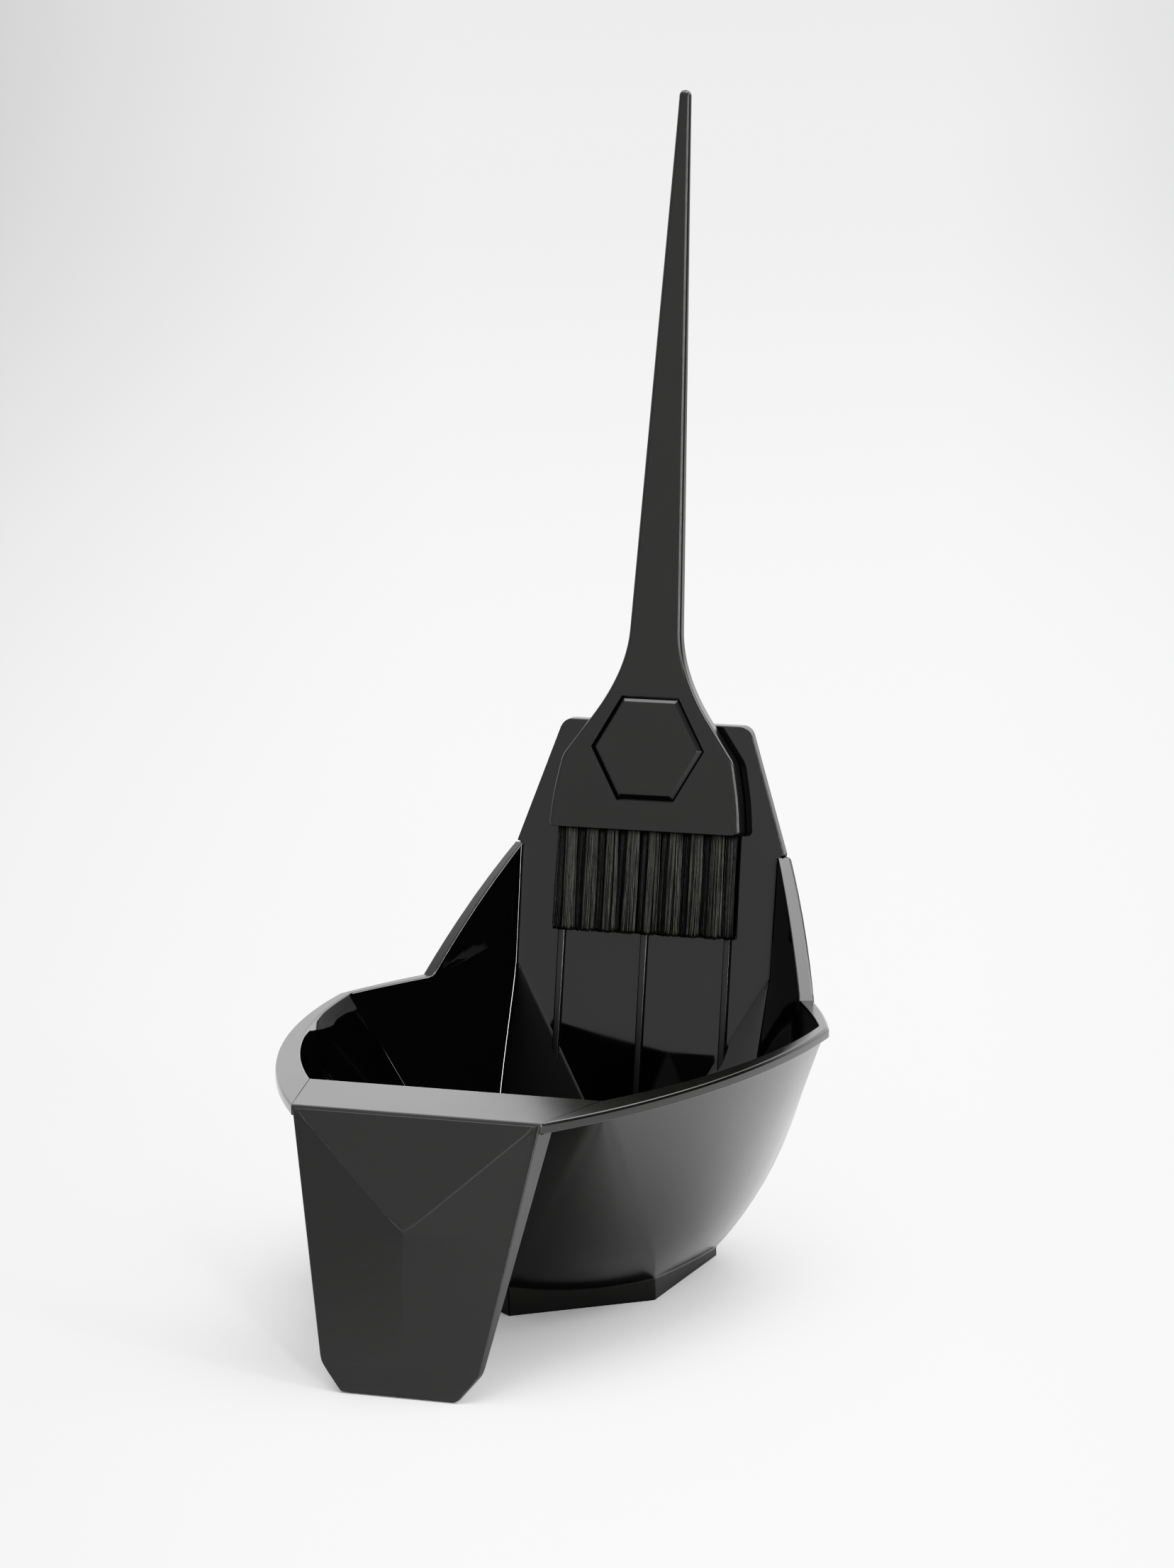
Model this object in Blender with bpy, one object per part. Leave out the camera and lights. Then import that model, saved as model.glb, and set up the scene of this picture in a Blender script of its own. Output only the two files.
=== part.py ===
"""Hair colour bowl with a rear docking panel, a front grip tab and a magnetic tint brush.

Frame: metres, +Z up, X = 0 is the mirror plane, the grip tab faces -Y. The origin is the middle
of the bottom of the whole object's box. The bowl stands on a hexagonal foot ring.
"""
from collections import namedtuple
from math import acos, asin, atan, cos, pi, radians, sin, tan

import bmesh
import bpy
from mathutils import Vector

MM = 0.001

# ---------------------------------------------------------------- driving dimensions
RIM_Z = 65.3 * MM            # rim plane above the table
RIM_THICK = 2.6 * MM         # height of the rim's outer lip
CHAMFER = 0.7 * MM           # broken outer edge of rim, wings and panel
WALL = 2.2 * MM              # bowl wall
PANEL_THICK = 2.5 * MM       # rear panel, measured along Y
PANEL_SLOPE = 0.22           # the panel runs back as it goes up
PANEL_LEAN = atan(PANEL_SLOPE)

# plan points of the right half, X then Y, with Y = 0 at the bowl's widest line
INNER_FRONT = Vector((38.0, -83.6)) * MM     # mouth: front corner
INNER_SIDE = Vector((63.6, -1.5)) * MM       # mouth: widest corner
INNER_REAR = Vector((35.0, 42.3)) * MM       # mouth: corner where wall meets panel
LIP_FRONT = Vector((32.0, -107.5)) * MM      # rim's outer edge at the top of the tab
LIP_SIDE = Vector((66.7, -2.0)) * MM
LIP_REAR = Vector((37.6, 44.8)) * MM
FOOT_FRONT = Vector((0.0, -54.0)) * MM       # foot ring's four corners
FOOT_SIDE_A = Vector((29.8, -31.0)) * MM
FOOT_SIDE_B = Vector((30.8, 10.0)) * MM
FOOT_REAR = Vector((0.0, 31.4)) * MM
INNER_SAGITTA = 6.6 * MM     # how far the curved side stands out from its chord
LIP_SAGITTA = 9.0 * MM
REAR_SAGITTA = 1.6 * MM
LIP_REAR_SAGITTA = 2.4 * MM
BULGE = 5.2 * MM             # how far a side facet swells outwards half way down
BULGE_SHAPE = 1.87           # makes the swell's largest value 1 on the curve d * (1 - d ** 4)
OUTER_DEPTHS = (1.0, 0.95, 0.87, 0.75, 0.6, 0.43, 0.25)       # levels of the outer wall
INNER_DEPTHS = (0.015, 0.25, 0.43, 0.6, 0.75, 0.87, 0.95, 1.0)   # and of the inner wall

FOOT_JOINT_Z = (7.5 * MM, 5.7 * MM, 2.4 * MM, 4.5 * MM)   # where body meets foot, corner by corner
FOOT_WIDTH = 2.6 * MM        # foot ring's width
RECESS_Z = 1.6 * MM          # underside of the bowl's floor, inside the foot ring
FLOOR_Z = 4.6 * MM           # inside floor
FLOOR_INSET = 9.0 * MM       # the flat of the inside floor starts this far in from the foot
FLOOR_FILLET = 0.4 * MM      # extra height of the inner wall's foot above the wall thickness
RECESS_DRAFT = 0.4 * MM      # the foot ring narrows by this much as it goes up

WING_START = 0.505           # share of the rear wall's run where the wing leaves the rim
WING_CROWN = 1.0 * MM        # how far the wing's top edge swells above its chord
WING_RISE = 30.3 * MM        # wing's top above the rim where it meets the panel
WING_TOP_HALF = 35.3 * MM    # half width between the wings' tops, inside
PANEL_TOP = 62.7 * MM        # panel's top above the rim
PANEL_TOP_HALF = 25.8 * MM
PANEL_BASE_HALF = 37.1 * MM  # panel's half width just above the wings
PANEL_BASE_STEP = 0.7 * MM   # the panel's side starts this far above the wing's top
PANEL_CORNER = 3.5 * MM      # radius of its upper corners

TAB_SLOPE = 0.238            # the tab runs forwards as it goes down
TAB_TIP_Z = 0.25 * MM
TAB_CORNER_Z = 6.8 * MM      # where the lower corners are cut off
TAB_NODE_Z = RIM_Z - 24.2 * MM
TAB_HALF = 32.0 * MM
TAB_CORNER_HALF = 20.5 * MM
TAB_TIP_HALF = 14.8 * MM
TAB_NODE_HALF = 3.6 * MM
TAB_RIDGE = 2.6 * MM         # how far the facets' meeting point stands out
TAB_THICK = 2.2 * MM
TAB_RETURN_TOP = 6.4 * MM    # depth of the side returns
TAB_RETURN_TIP = 1.5 * MM
TAB_RETURN_FLARE = 0.24      # the returns open out towards their back edges

RIB_X = 23.0 * MM
RIB_WIDTH = 1.9 * MM
RIB_PROUD = 0.8 * MM
RIB_TOP_U = 8.4 * MM         # U runs up the panel's slope from the rim plane
RIB_SIDE_LOW_U = -26.0 * MM
RIB_MIDDLE_LOW_U = -46.0 * MM
ROOT = 0.5 * MM              # how far a joined form reaches into its wall
BOSS_U = 53.0 * MM
BOSS_R = 10.5 * MM
BOSS_PROUD = 3.4 * MM
MAGNET_R = 8.0 * MM
PANEL_MAGNET_T = 2.6 * MM
PANEL_COVER_T = 1.2 * MM
GAP = 0.3 * MM               # clearance between touching pieces
CUT_PAST = 3.0 * MM          # how far a cutter runs past the face it opens

HEAD_THICK = 5.0 * MM
HEAD_MID = GAP + HEAD_THICK / 2              # brush centre plane, in front of the panel
HEAD_END_U = 36.0 * MM
HEAD_HALF = 26.5 * MM
HEAD_CORNER = 1.2 * MM
SHOULDER_U = 54.7 * MM
SHOULDER_HALF = 23.8 * MM
NECK_U = 64.5 * MM
NECK_HALF = 16.6 * MM
HANDLE_U = 88.0 * MM
HANDLE_HALF = 7.1 * MM
TIP_U = 228.0 * MM
TIP_HALF = 1.55 * MM
HANDLE_THICK = 4.0 * MM
TIP_THICK = 2.6 * MM
EDGE = 1.1 * MM              # bevel along the brush's edges

HEX_U = 57.2 * MM
HEX_R = 15.6 * MM            # corner radius of the pocket for the hexagonal cap
CAP_DEPTH = 1.8 * MM
CAP_PROUD = 0.4 * MM
CAP_BEVEL = 1.0 * MM
BRUSH_MAGNET_T = 1.5 * MM

FRONT_TUFTS = 8
REAR_TUFTS = 9
TUFT_PITCH = 5.8 * MM
ROW_OFFSET = 1.15 * MM       # each row's distance from the brush's centre plane
TUFT_END_U = 8.9 * MM
TUFT_TOP_U = 40.8 * MM
TUFT_ROOT = (3.0 * MM, 1.2 * MM)
TUFT_TIP = (4.3 * MM, 1.9 * MM)
SOCKET = (3.5 * MM, 1.7 * MM)
SOCKET_TOP_U = 42.8 * MM
STAPLE = (2.6 * MM, 0.5 * MM, 1.2 * MM)


def line(a, b, t):
    """Point at share t of the straight line from a to b."""
    return a + (b - a) * t


def right_of(run):
    """Unit vector to the right of a direction in plan: outwards, on an outline drawn this way."""
    return Vector((run.y, -run.x)).normalized()


def arc_frame(a, b, sagitta, t):
    """Point at share t of the arc from a to b, and the arc's outward normal there."""
    chord = b - a
    half = chord.length / 2
    radius = (half * half + sagitta * sagitta) / (2 * sagitta)
    angle = asin(half / radius) * (2 * t - 1)
    normal = chord.normalized() * sin(angle) + right_of(chord) * cos(angle)
    centre = (a + b) / 2 - right_of(chord) * (radius - sagitta)
    return centre + normal * radius, normal


def arc(a, b, sagitta, t):
    return arc_frame(a, b, sagitta, t)[0]


def offset_loop(loop, distance):
    """Moves a closed counter-clockwise outline outwards; repeated points stay together."""
    count = len(loop)
    moved = []
    for i in range(count):
        before = next(loop[(i - k) % count] for k in range(1, count)
                      if (loop[(i - k) % count] - loop[i]).length > 1e-7)
        after = next(loop[(i + k) % count] for k in range(1, count)
                     if (loop[(i + k) % count] - loop[i]).length > 1e-7)
        first = (loop[i] - before).normalized()
        second = (after - loop[i]).normalized()
        normal_a = right_of(first)
        normal_b = right_of(second)
        mitre = (normal_a + normal_b).normalized()
        moved.append(loop[i] + mitre * (distance / max(mitre.dot(normal_a), 0.5)))
    return moved


# ---------------------------------------------------------------- Blender helpers
def material(name, colour, roughness, metallic=0.0):
    mat = bpy.data.materials.new(name)
    mat.use_nodes = True
    shader = mat.node_tree.nodes["Principled BSDF"]
    shader.inputs["Base Color"].default_value = (*colour, 1.0)
    shader.inputs["Roughness"].default_value = roughness
    shader.inputs["Metallic"].default_value = metallic
    return mat


def add_object(name, bm, mat=None, parent=None, smooth=radians(30)):
    """Puts a bmesh into the scene as one closed object with its faces pointing out."""
    bmesh.ops.remove_doubles(bm, verts=bm.verts, dist=0.00001)
    bmesh.ops.recalc_face_normals(bm, faces=bm.faces)
    mesh = bpy.data.meshes.new(name)
    bm.to_mesh(mesh)
    bm.free()
    mesh.shade_smooth()
    mesh.set_sharp_from_angle(angle=smooth)
    if mat:
        mesh.materials.append(mat)
    obj = bpy.data.objects.new(name, mesh)
    bpy.context.collection.objects.link(obj)
    obj.parent = parent
    return obj


def add_empty(name, location, tilt=0.0):
    empty = bpy.data.objects.new(name, None)
    empty.location = location
    empty.rotation_euler = (tilt, 0.0, 0.0)
    bpy.context.collection.objects.link(empty)
    return empty


def combine(target, tool, operation):
    """Adds a Boolean to target and turns the tool into a hidden guide."""
    tool.hide_render = True
    tool.display_type = "WIRE"
    modifier = target.modifiers.new(tool.name, "BOOLEAN")
    modifier.operation = operation
    modifier.object = tool
    modifier.solver = "EXACT"


def skin(bm, rings, cap_start=True, cap_end=True):
    """Joins closed rings of equal length with quads and caps the two ends."""
    rows = [[bm.verts.new(point) for point in ring] for ring in rings]
    for low, high in zip(rows, rows[1:]):
        for i in range(len(low)):
            j = (i + 1) % len(low)
            bm.faces.new((low[i], low[j], high[j], high[i]))
    if cap_start:
        bm.faces.new(list(reversed(rows[0])))
    if cap_end:
        bm.faces.new(rows[-1])
    return bm


def prism(outline, low, high):
    """Solid between two heights over an outline in local X and Z; the heights are along -Y."""
    rings = [[Vector((x, -w, u)) for x, u in outline] for w in (low, high)]
    return skin(bmesh.new(), rings)


def box(x_range, w_range, u_range):
    outline = [(x_range[0], u_range[0]), (x_range[1], u_range[0]),
               (x_range[1], u_range[1]), (x_range[0], u_range[1])]
    return prism(outline, *w_range)


def disc(radius, centre_u, sides=40):
    return [(radius * cos(2 * pi * i / sides), centre_u + radius * sin(2 * pi * i / sides))
            for i in range(sides)]


def hexagon(radius, centre_u):
    return [(radius * cos(pi * i / 3), centre_u + radius * sin(pi * i / 3)) for i in range(6)]


def rounded_box_ring(width, depth, centre_x, centre_w, u, corner, steps=3):
    """Rounded rectangle across the slope, in local X and -Y, at height u."""
    ring = []
    for quarter, (sx, sy) in enumerate(((1, 1), (-1, 1), (-1, -1), (1, -1))):
        cx = sx * (width / 2 - corner)
        cy = sy * (depth / 2 - corner)
        for k in range(steps + 1):
            angle = (quarter + k / steps) * pi / 2
            x = centre_x + cx + corner * cos(angle)
            w = centre_w + cy + corner * sin(angle)
            ring.append(Vector((x, -w, u)))
    return ring


# ---------------------------------------------------------------- bowl shell
Station = namedtuple("Station", "mouth lip foot joint bulge push mid_in top_in mid_out top_out")


def panel_point(x, rise, depth=0.0):
    """Point on the panel's face at a height above the rim, or behind it by depth."""
    return Vector((x, INNER_REAR.y + rise * PANEL_SLOPE + depth, RIM_Z + rise))


def panel_edge():
    """The panel's outline above the wing, from the wing's top to the middle of its top edge."""
    base = Vector((PANEL_BASE_HALF, WING_RISE + PANEL_BASE_STEP))
    corner = Vector((PANEL_TOP_HALF, PANEL_TOP))
    side = (corner - base).normalized()
    turn = acos(side.dot(Vector((-1.0, 0.0))))
    cut = PANEL_CORNER * tan(turn / 2)
    centre = corner + Vector((-cut, -PANEL_CORNER))
    start = pi / 2 - turn
    edge = [Vector((WING_TOP_HALF, WING_RISE)), base, line(base, corner, 0.5)]
    for k in range(5):
        angle = start + turn * k / 4
        edge.append(centre + PANEL_CORNER * Vector((cos(angle), sin(angle))))
    edge.append(Vector((centre.x / 2, PANEL_TOP)))
    edge.append(Vector((0.0, PANEL_TOP)))
    return edge


def foot_height(a, b, t, dip):
    """Height at which the body meets the foot between two corners; it dips between them."""
    return a + (b - a) * t - 4 * dip * t * (1 - t)


def plain_station(mouth, lip, foot, joint, bulge, push):
    """A station whose wall ends at the rim; push is the way its bulge goes, in plan."""
    top_in = Vector((mouth.x, mouth.y, RIM_Z))
    top_out = Vector((lip.x, lip.y, RIM_Z))
    return Station(mouth, lip, foot, joint, bulge, push, top_in, top_in, top_out, top_out)


def half_stations():
    """Stations of the right half, from the front middle round to the back middle."""
    z_front, z_a, z_b, z_rear = FOOT_JOINT_Z
    forward = Vector((0.0, -1.0))
    backward = Vector((0.0, 1.0))
    side_start = arc_frame(INNER_FRONT, INNER_SIDE, INNER_SAGITTA, 0.0)[1]
    side_end = arc_frame(INNER_FRONT, INNER_SIDE, INNER_SAGITTA, 1.0)[1]
    rear_out = right_of(INNER_REAR - INNER_SIDE)
    stations = []
    for t in (0.0, 0.25, 0.5, 0.75):
        stations.append(plain_station(line(Vector((0, INNER_FRONT.y)), INNER_FRONT, t),
                                      line(Vector((0, LIP_FRONT.y)), LIP_FRONT, t),
                                      FOOT_FRONT, z_front, BULGE * (0.4 + 0.4 * t), forward))
    for k in range(5):
        t = k / 5
        stations.append(plain_station(INNER_FRONT, LIP_FRONT, line(FOOT_FRONT, FOOT_SIDE_A, t),
                                      foot_height(z_front, z_a, t, 1.7 * MM),
                                      BULGE * (0.8 + 0.2 * t),
                                      line(forward, side_start, t).normalized()))
    for k in range(12):
        t = k / 12
        mouth, normal = arc_frame(INNER_FRONT, INNER_SIDE, INNER_SAGITTA, t)
        stations.append(plain_station(mouth, arc(LIP_FRONT, LIP_SIDE, LIP_SAGITTA, t),
                                      line(FOOT_SIDE_A, FOOT_SIDE_B, t),
                                      foot_height(z_a, z_b, t, 0.3 * MM), BULGE, normal))
    wing_foot = arc(INNER_SIDE, INNER_REAR, REAR_SAGITTA, WING_START)
    wing_low = Vector((wing_foot.x, wing_foot.y, RIM_Z))
    wing_high = panel_point(WING_TOP_HALF, WING_RISE)
    for t in (0.0, 0.2, 0.36, WING_START, 0.6, 0.7, 0.85, 1.0):
        mouth = arc(INNER_SIDE, INNER_REAR, REAR_SAGITTA, t)
        lip = arc(LIP_SIDE, LIP_REAR, LIP_REAR_SAGITTA, t)
        push = line(side_end, rear_out, min(1.0, 0.5 + 2 * t)).normalized()
        station = plain_station(mouth, lip, FOOT_SIDE_B, z_b, BULGE, push)
        if t > WING_START:
            climb = (t - WING_START) / (1 - WING_START)
            top_in = line(wing_low, wing_high, climb)
            top_in.z += 4 * WING_CROWN * climb * (1 - climb)
            top_out = top_in + (lip - mouth).to_3d()
            station = station._replace(mid_in=top_in, top_in=top_in,
                                       mid_out=top_out, top_out=top_out)
        stations.append(station)
    corner = stations[-1]
    for k in range(1, 5):
        t = k / 5
        stations.append(corner._replace(foot=line(FOOT_SIDE_B, FOOT_REAR, t),
                                        joint=foot_height(z_b, z_rear, t, 0.8 * MM),
                                        bulge=BULGE * (1 - t),
                                        push=line(rear_out, backward, t).normalized()))
    edge = panel_edge()
    for i, (x, rise) in enumerate(edge):
        across = 1 - i / (len(edge) - 1)
        mouth = Vector((INNER_REAR.x * across, INNER_REAR.y))
        mid_x = edge[0].x * across
        out_shift = corner.top_out.x - corner.top_in.x if i == 0 else 0.0
        stations.append(Station(mouth, Vector((LIP_REAR.x * across, LIP_REAR.y)), FOOT_REAR, z_rear,
                                0.0, backward,
                                panel_point(mid_x, WING_RISE), panel_point(x, rise),
                                panel_point(corner.top_out.x * across, WING_RISE, PANEL_THICK),
                                panel_point(x + out_shift, rise, PANEL_THICK)))
    return stations


def mirrored(stations):
    """The whole ring of stations: the right half, then its mirror image back to the front."""
    def flip(value):
        if isinstance(value, Vector):
            copy = value.copy()
            copy.x = -copy.x
            return copy
        return value
    left = [Station(*map(flip, station)) for station in reversed(stations[1:-1])]
    return stations + left


def wall_point(top, bottom, low_z, station, depth):
    """Point on a bowl wall at a share of its depth, from rim plane (0) to bottom (1)."""
    swell = station.bulge * BULGE_SHAPE * depth * (1 - depth ** 4)
    plan = line(top, bottom, depth) + station.push * swell
    return Vector((plan.x, plan.y, RIM_Z + (low_z - RIM_Z) * depth))


def shell_rings(ring):
    """Horizontal rings of the shell, from the underside over the rim to the inside floor."""
    mouth = [s.mouth for s in ring]
    foot = [s.foot for s in ring]
    outer_top = offset_loop(mouth, WALL)
    foot_in = offset_loop(foot, -FOOT_WIDTH)
    foot_recess = offset_loop(foot, -FOOT_WIDTH - RECESS_DRAFT)
    floor_edge = offset_loop(foot, -FLOOR_INSET)
    rings = [[Vector((p.x, p.y, RECESS_Z)) for p in foot_recess],
             [Vector((p.x, p.y, 0.0)) for p in foot_in],
             [Vector((p.x, p.y, 0.0)) for p in foot]]
    under_lip = 1.08 * RIM_THICK / RIM_Z
    for depth in (*OUTER_DEPTHS, under_lip):
        rings.append([wall_point(top, s.foot, s.joint, s, depth)
                      for s, top in zip(ring, outer_top)])
    for p in rings[-1]:
        p.z = RIM_Z - RIM_THICK
    rings.append([Vector((s.lip.x, s.lip.y, RIM_Z - RIM_THICK)) for s in ring])
    rings.append([s.mid_out - Vector((0, 0, CHAMFER)) for s in ring])
    rings.append([s.top_out - Vector((0, 0, CHAMFER)) for s in ring])
    rings.append([s.top_out + (s.top_in - s.top_out).normalized() * CHAMFER for s in ring])
    rings.append([s.top_in for s in ring])
    rings.append([s.mid_in for s in ring])
    for depth in INNER_DEPTHS:
        rings.append([wall_point(s.mouth, low, s.joint + WALL + FLOOR_FILLET, s, depth)
                      for s, low in zip(ring, foot_in)])
    rings.append([Vector((p.x, p.y, FLOOR_Z)) for p in floor_edge])
    return rings


def tab_ring(z, half, node_half, ridge, depth, inset=0.0):
    """One level of the grip tab: faceted front, side returns, hollow back."""
    thick = min(TAB_THICK, depth - 0.15 * MM)
    front = LIP_FRONT.y - TAB_SLOPE * (RIM_Z - z) + inset
    wide = half + TAB_RETURN_FLARE * depth
    right = [(node_half, front - ridge), (half, front), (wide, front + depth),
             (wide - TAB_THICK, front + depth), (half - TAB_THICK, front + thick),
             (min(node_half, half - TAB_THICK), front - ridge + thick)]
    left = [(-x, y) for x, y in reversed(right)]
    return [Vector((x, y, z)) for x, y in right + left]


def make_tab(parent):
    """Grip tab: a shallow channel with a Y-shaped crease, hung from the rim's front edge."""
    top_z = RIM_Z - 1.5 * MM
    spread = (TAB_HALF - TAB_CORNER_HALF) / (RIM_Z - TAB_CORNER_Z)
    node_half = TAB_HALF - spread * (RIM_Z - TAB_NODE_Z)
    ridge_z = TAB_NODE_Z - 4.0 * MM
    low_z = TAB_CORNER_Z + 3.0 * MM
    low_half = TAB_CORNER_HALF + spread * 3.0 * MM
    inset = 0.25 * MM
    node_depth = line(Vector((TAB_RETURN_TOP, 0)), Vector((TAB_RETURN_TIP, 0)), 0.4).x
    rings = [tab_ring(TAB_TIP_Z, TAB_TIP_HALF, 0.4 * MM, 0.0, TAB_RETURN_TIP),
             tab_ring(TAB_CORNER_Z, TAB_CORNER_HALF, 0.4 * MM, 0.3 * MM, TAB_RETURN_TIP),
             tab_ring(low_z, low_half, 0.4 * MM, 0.45 * MM, TAB_RETURN_TIP + 0.3 * MM),
             tab_ring(ridge_z, node_half - spread * 4.0 * MM, 0.4 * MM, TAB_RIDGE, node_depth),
             tab_ring(TAB_NODE_Z, node_half, TAB_NODE_HALF, TAB_RIDGE, node_depth + 0.4 * MM),
             tab_ring(top_z, TAB_HALF - 0.2 * MM, TAB_HALF - 5.0 * MM, 0.0, TAB_RETURN_TOP, inset)]
    return add_object("tab_form", skin(bmesh.new(), rings), parent=parent, smooth=radians(4))


def make_bowl(mat, bowl_frame, panel_frame):
    rings = shell_rings(mirrored(half_stations()))
    shell = add_object("bowl_shell", skin(bmesh.new(), rings), mat, bowl_frame)
    combine(shell, make_tab(bowl_frame), "UNION")
    for name, x, low_u in (("rib_left", -RIB_X, RIB_SIDE_LOW_U), ("rib_middle", 0.0, RIB_MIDDLE_LOW_U),
                           ("rib_right", RIB_X, RIB_SIDE_LOW_U)):
        rib = box((x - RIB_WIDTH / 2, x + RIB_WIDTH / 2), (-ROOT, RIB_PROUD), (low_u, RIB_TOP_U))
        combine(shell, add_object(name, rib, parent=panel_frame), "UNION")
    back = -PANEL_THICK * cos(PANEL_LEAN)
    boss = prism(disc(BOSS_R, BOSS_U), back - BOSS_PROUD, back + ROOT)
    combine(shell, add_object("boss_form", boss, parent=panel_frame), "UNION")
    depth = PANEL_MAGNET_T + PANEL_COVER_T + 2 * GAP
    pocket = prism(disc(MAGNET_R + GAP, BOSS_U), back - BOSS_PROUD - CUT_PAST,
                   back - BOSS_PROUD + depth)
    combine(shell, add_object("pocket_form", pocket, parent=panel_frame), "DIFFERENCE")
    return shell


def make_panel_magnet(steel, plastic, panel_frame):
    """Magnet and its cover in the boss behind the panel."""
    cover_low = -PANEL_THICK * cos(PANEL_LEAN) - BOSS_PROUD
    magnet_low = cover_low + PANEL_COVER_T + GAP
    cover = prism(disc(MAGNET_R, BOSS_U), cover_low, cover_low + PANEL_COVER_T)
    add_object("panel_magnet_cover", cover, plastic, panel_frame)
    magnet = prism(disc(MAGNET_R, BOSS_U), magnet_low, magnet_low + PANEL_MAGNET_T)
    add_object("panel_magnet", magnet, steel, panel_frame)


# ---------------------------------------------------------------- brush
def quadratic(a, b, c, t):
    return a * (1 - t) ** 2 + b * 2 * t * (1 - t) + c * t ** 2


def brush_outline():
    """Half widths up the brush, as (half width, U): head, shoulder, neck, tapered handle, tip."""
    points = [Vector((HEAD_HALF - HEAD_CORNER * (1 - sin(k * pi / 6)),
                      HEAD_END_U + HEAD_CORNER * (1 - cos(k * pi / 6)))) for k in range(4)]
    points.append(Vector((HEAD_HALF - 0.7 * MM, 0.45 * HEAD_END_U + 0.55 * SHOULDER_U)))
    points.append(Vector((SHOULDER_HALF + 0.25 * MM, SHOULDER_U - 1.0 * MM)))
    points.append(Vector((SHOULDER_HALF - 0.4 * MM, SHOULDER_U + 0.6 * MM)))
    neck = Vector((NECK_HALF, NECK_U))
    handle = Vector((HANDLE_HALF, HANDLE_U))
    bend = Vector((HANDLE_HALF + 0.5 * MM, NECK_U + 12.0 * MM))
    points += [quadratic(neck, bend, handle, k / 7) for k in range(8)]
    tip = Vector((TIP_HALF, TIP_U - TIP_HALF))
    points += [line(handle, tip, k / 6) for k in range(1, 7)]
    points.append(Vector((TIP_HALF * 0.86, TIP_U - TIP_HALF * 0.5)))
    points.append(Vector((TIP_HALF * 0.45, TIP_U)))
    return points


def brush_thickness(half, u):
    if u <= NECK_U:
        return HEAD_THICK
    if u <= HANDLE_U:
        return HEAD_THICK + (HANDLE_THICK - HEAD_THICK) * (u - NECK_U) / (HANDLE_U - NECK_U)
    thick = HANDLE_THICK + (TIP_THICK - HANDLE_THICK) * (u - HANDLE_U) / (TIP_U - HANDLE_U)
    return min(thick, 1.7 * half)


def brush_back():
    """How far the brush reaches behind the panel's foot line, along Y."""
    return max(INNER_REAR.y + p.y * sin(PANEL_LEAN)
               - (HEAD_MID - brush_thickness(p.x, p.y) / 2) * cos(PANEL_LEAN)
               for p in brush_outline())


def tuft_places():
    """Name, X and distance from the panel of each tuft: a front row and a staggered rear row."""
    places = []
    for row, count, w in (("front", FRONT_TUFTS, HEAD_MID + ROW_OFFSET),
                          ("rear", REAR_TUFTS, HEAD_MID - ROW_OFFSET)):
        for i in range(count):
            places.append(("%s_%d" % (row, i + 1), (i - (count - 1) / 2) * TUFT_PITCH, w))
    return places


def make_handle(mat, frame):
    """Head, neck and tapered handle in one moulding, with its sockets and pockets."""
    rings = []
    for half, u in brush_outline():
        thick = brush_thickness(half, u)
        edge = min(EDGE, 0.42 * thick, 0.6 * half)
        rings.append(rounded_box_ring(2 * half, thick, 0.0, HEAD_MID, u, edge, steps=2))
    handle = add_object("brush_handle", skin(bmesh.new(), rings), mat, frame)
    front = HEAD_MID + HEAD_THICK / 2
    pocket = prism(hexagon(HEX_R, HEX_U), front - CAP_DEPTH, front + CUT_PAST)
    combine(handle, add_object("cap_pocket_form", pocket, parent=frame), "DIFFERENCE")
    seat = front - CAP_DEPTH - BRUSH_MAGNET_T - GAP
    hole = prism(disc(MAGNET_R + GAP, HEX_U), seat, front - CAP_DEPTH + ROOT)
    combine(handle, add_object("magnet_pocket_form", hole, parent=frame), "DIFFERENCE")
    for name, x, w in tuft_places():
        rings = [rounded_box_ring(*SOCKET, x, w, u, 0.6 * MM, steps=2)
                 for u in (HEAD_END_U - CUT_PAST, SOCKET_TOP_U)]
        socket = add_object("socket_form_" + name, skin(bmesh.new(), rings), parent=frame)
        combine(handle, socket, "DIFFERENCE")
    return handle


def make_cap(mat, frame):
    """Hexagonal cap with a bevelled edge, over the brush's magnet."""
    front = HEAD_MID + HEAD_THICK / 2
    low = front - CAP_DEPTH + GAP
    outer = HEX_R - GAP
    levels = ((low, outer), (front + CAP_PROUD - CAP_BEVEL, outer),
              (front + CAP_PROUD, outer - 1.2 * CAP_BEVEL))
    rings = [[Vector((x, -w, u)) for x, u in hexagon(radius, HEX_U)] for w, radius in levels]
    return add_object("hex_cap", skin(bmesh.new(), rings), mat, frame, smooth=radians(20))


def make_brush_magnet(mat, frame):
    front = HEAD_MID + HEAD_THICK / 2
    top = front - CAP_DEPTH
    magnet = prism(disc(MAGNET_R, HEX_U), top - BRUSH_MAGNET_T, top)
    return add_object("brush_magnet", magnet, mat, frame)


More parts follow.
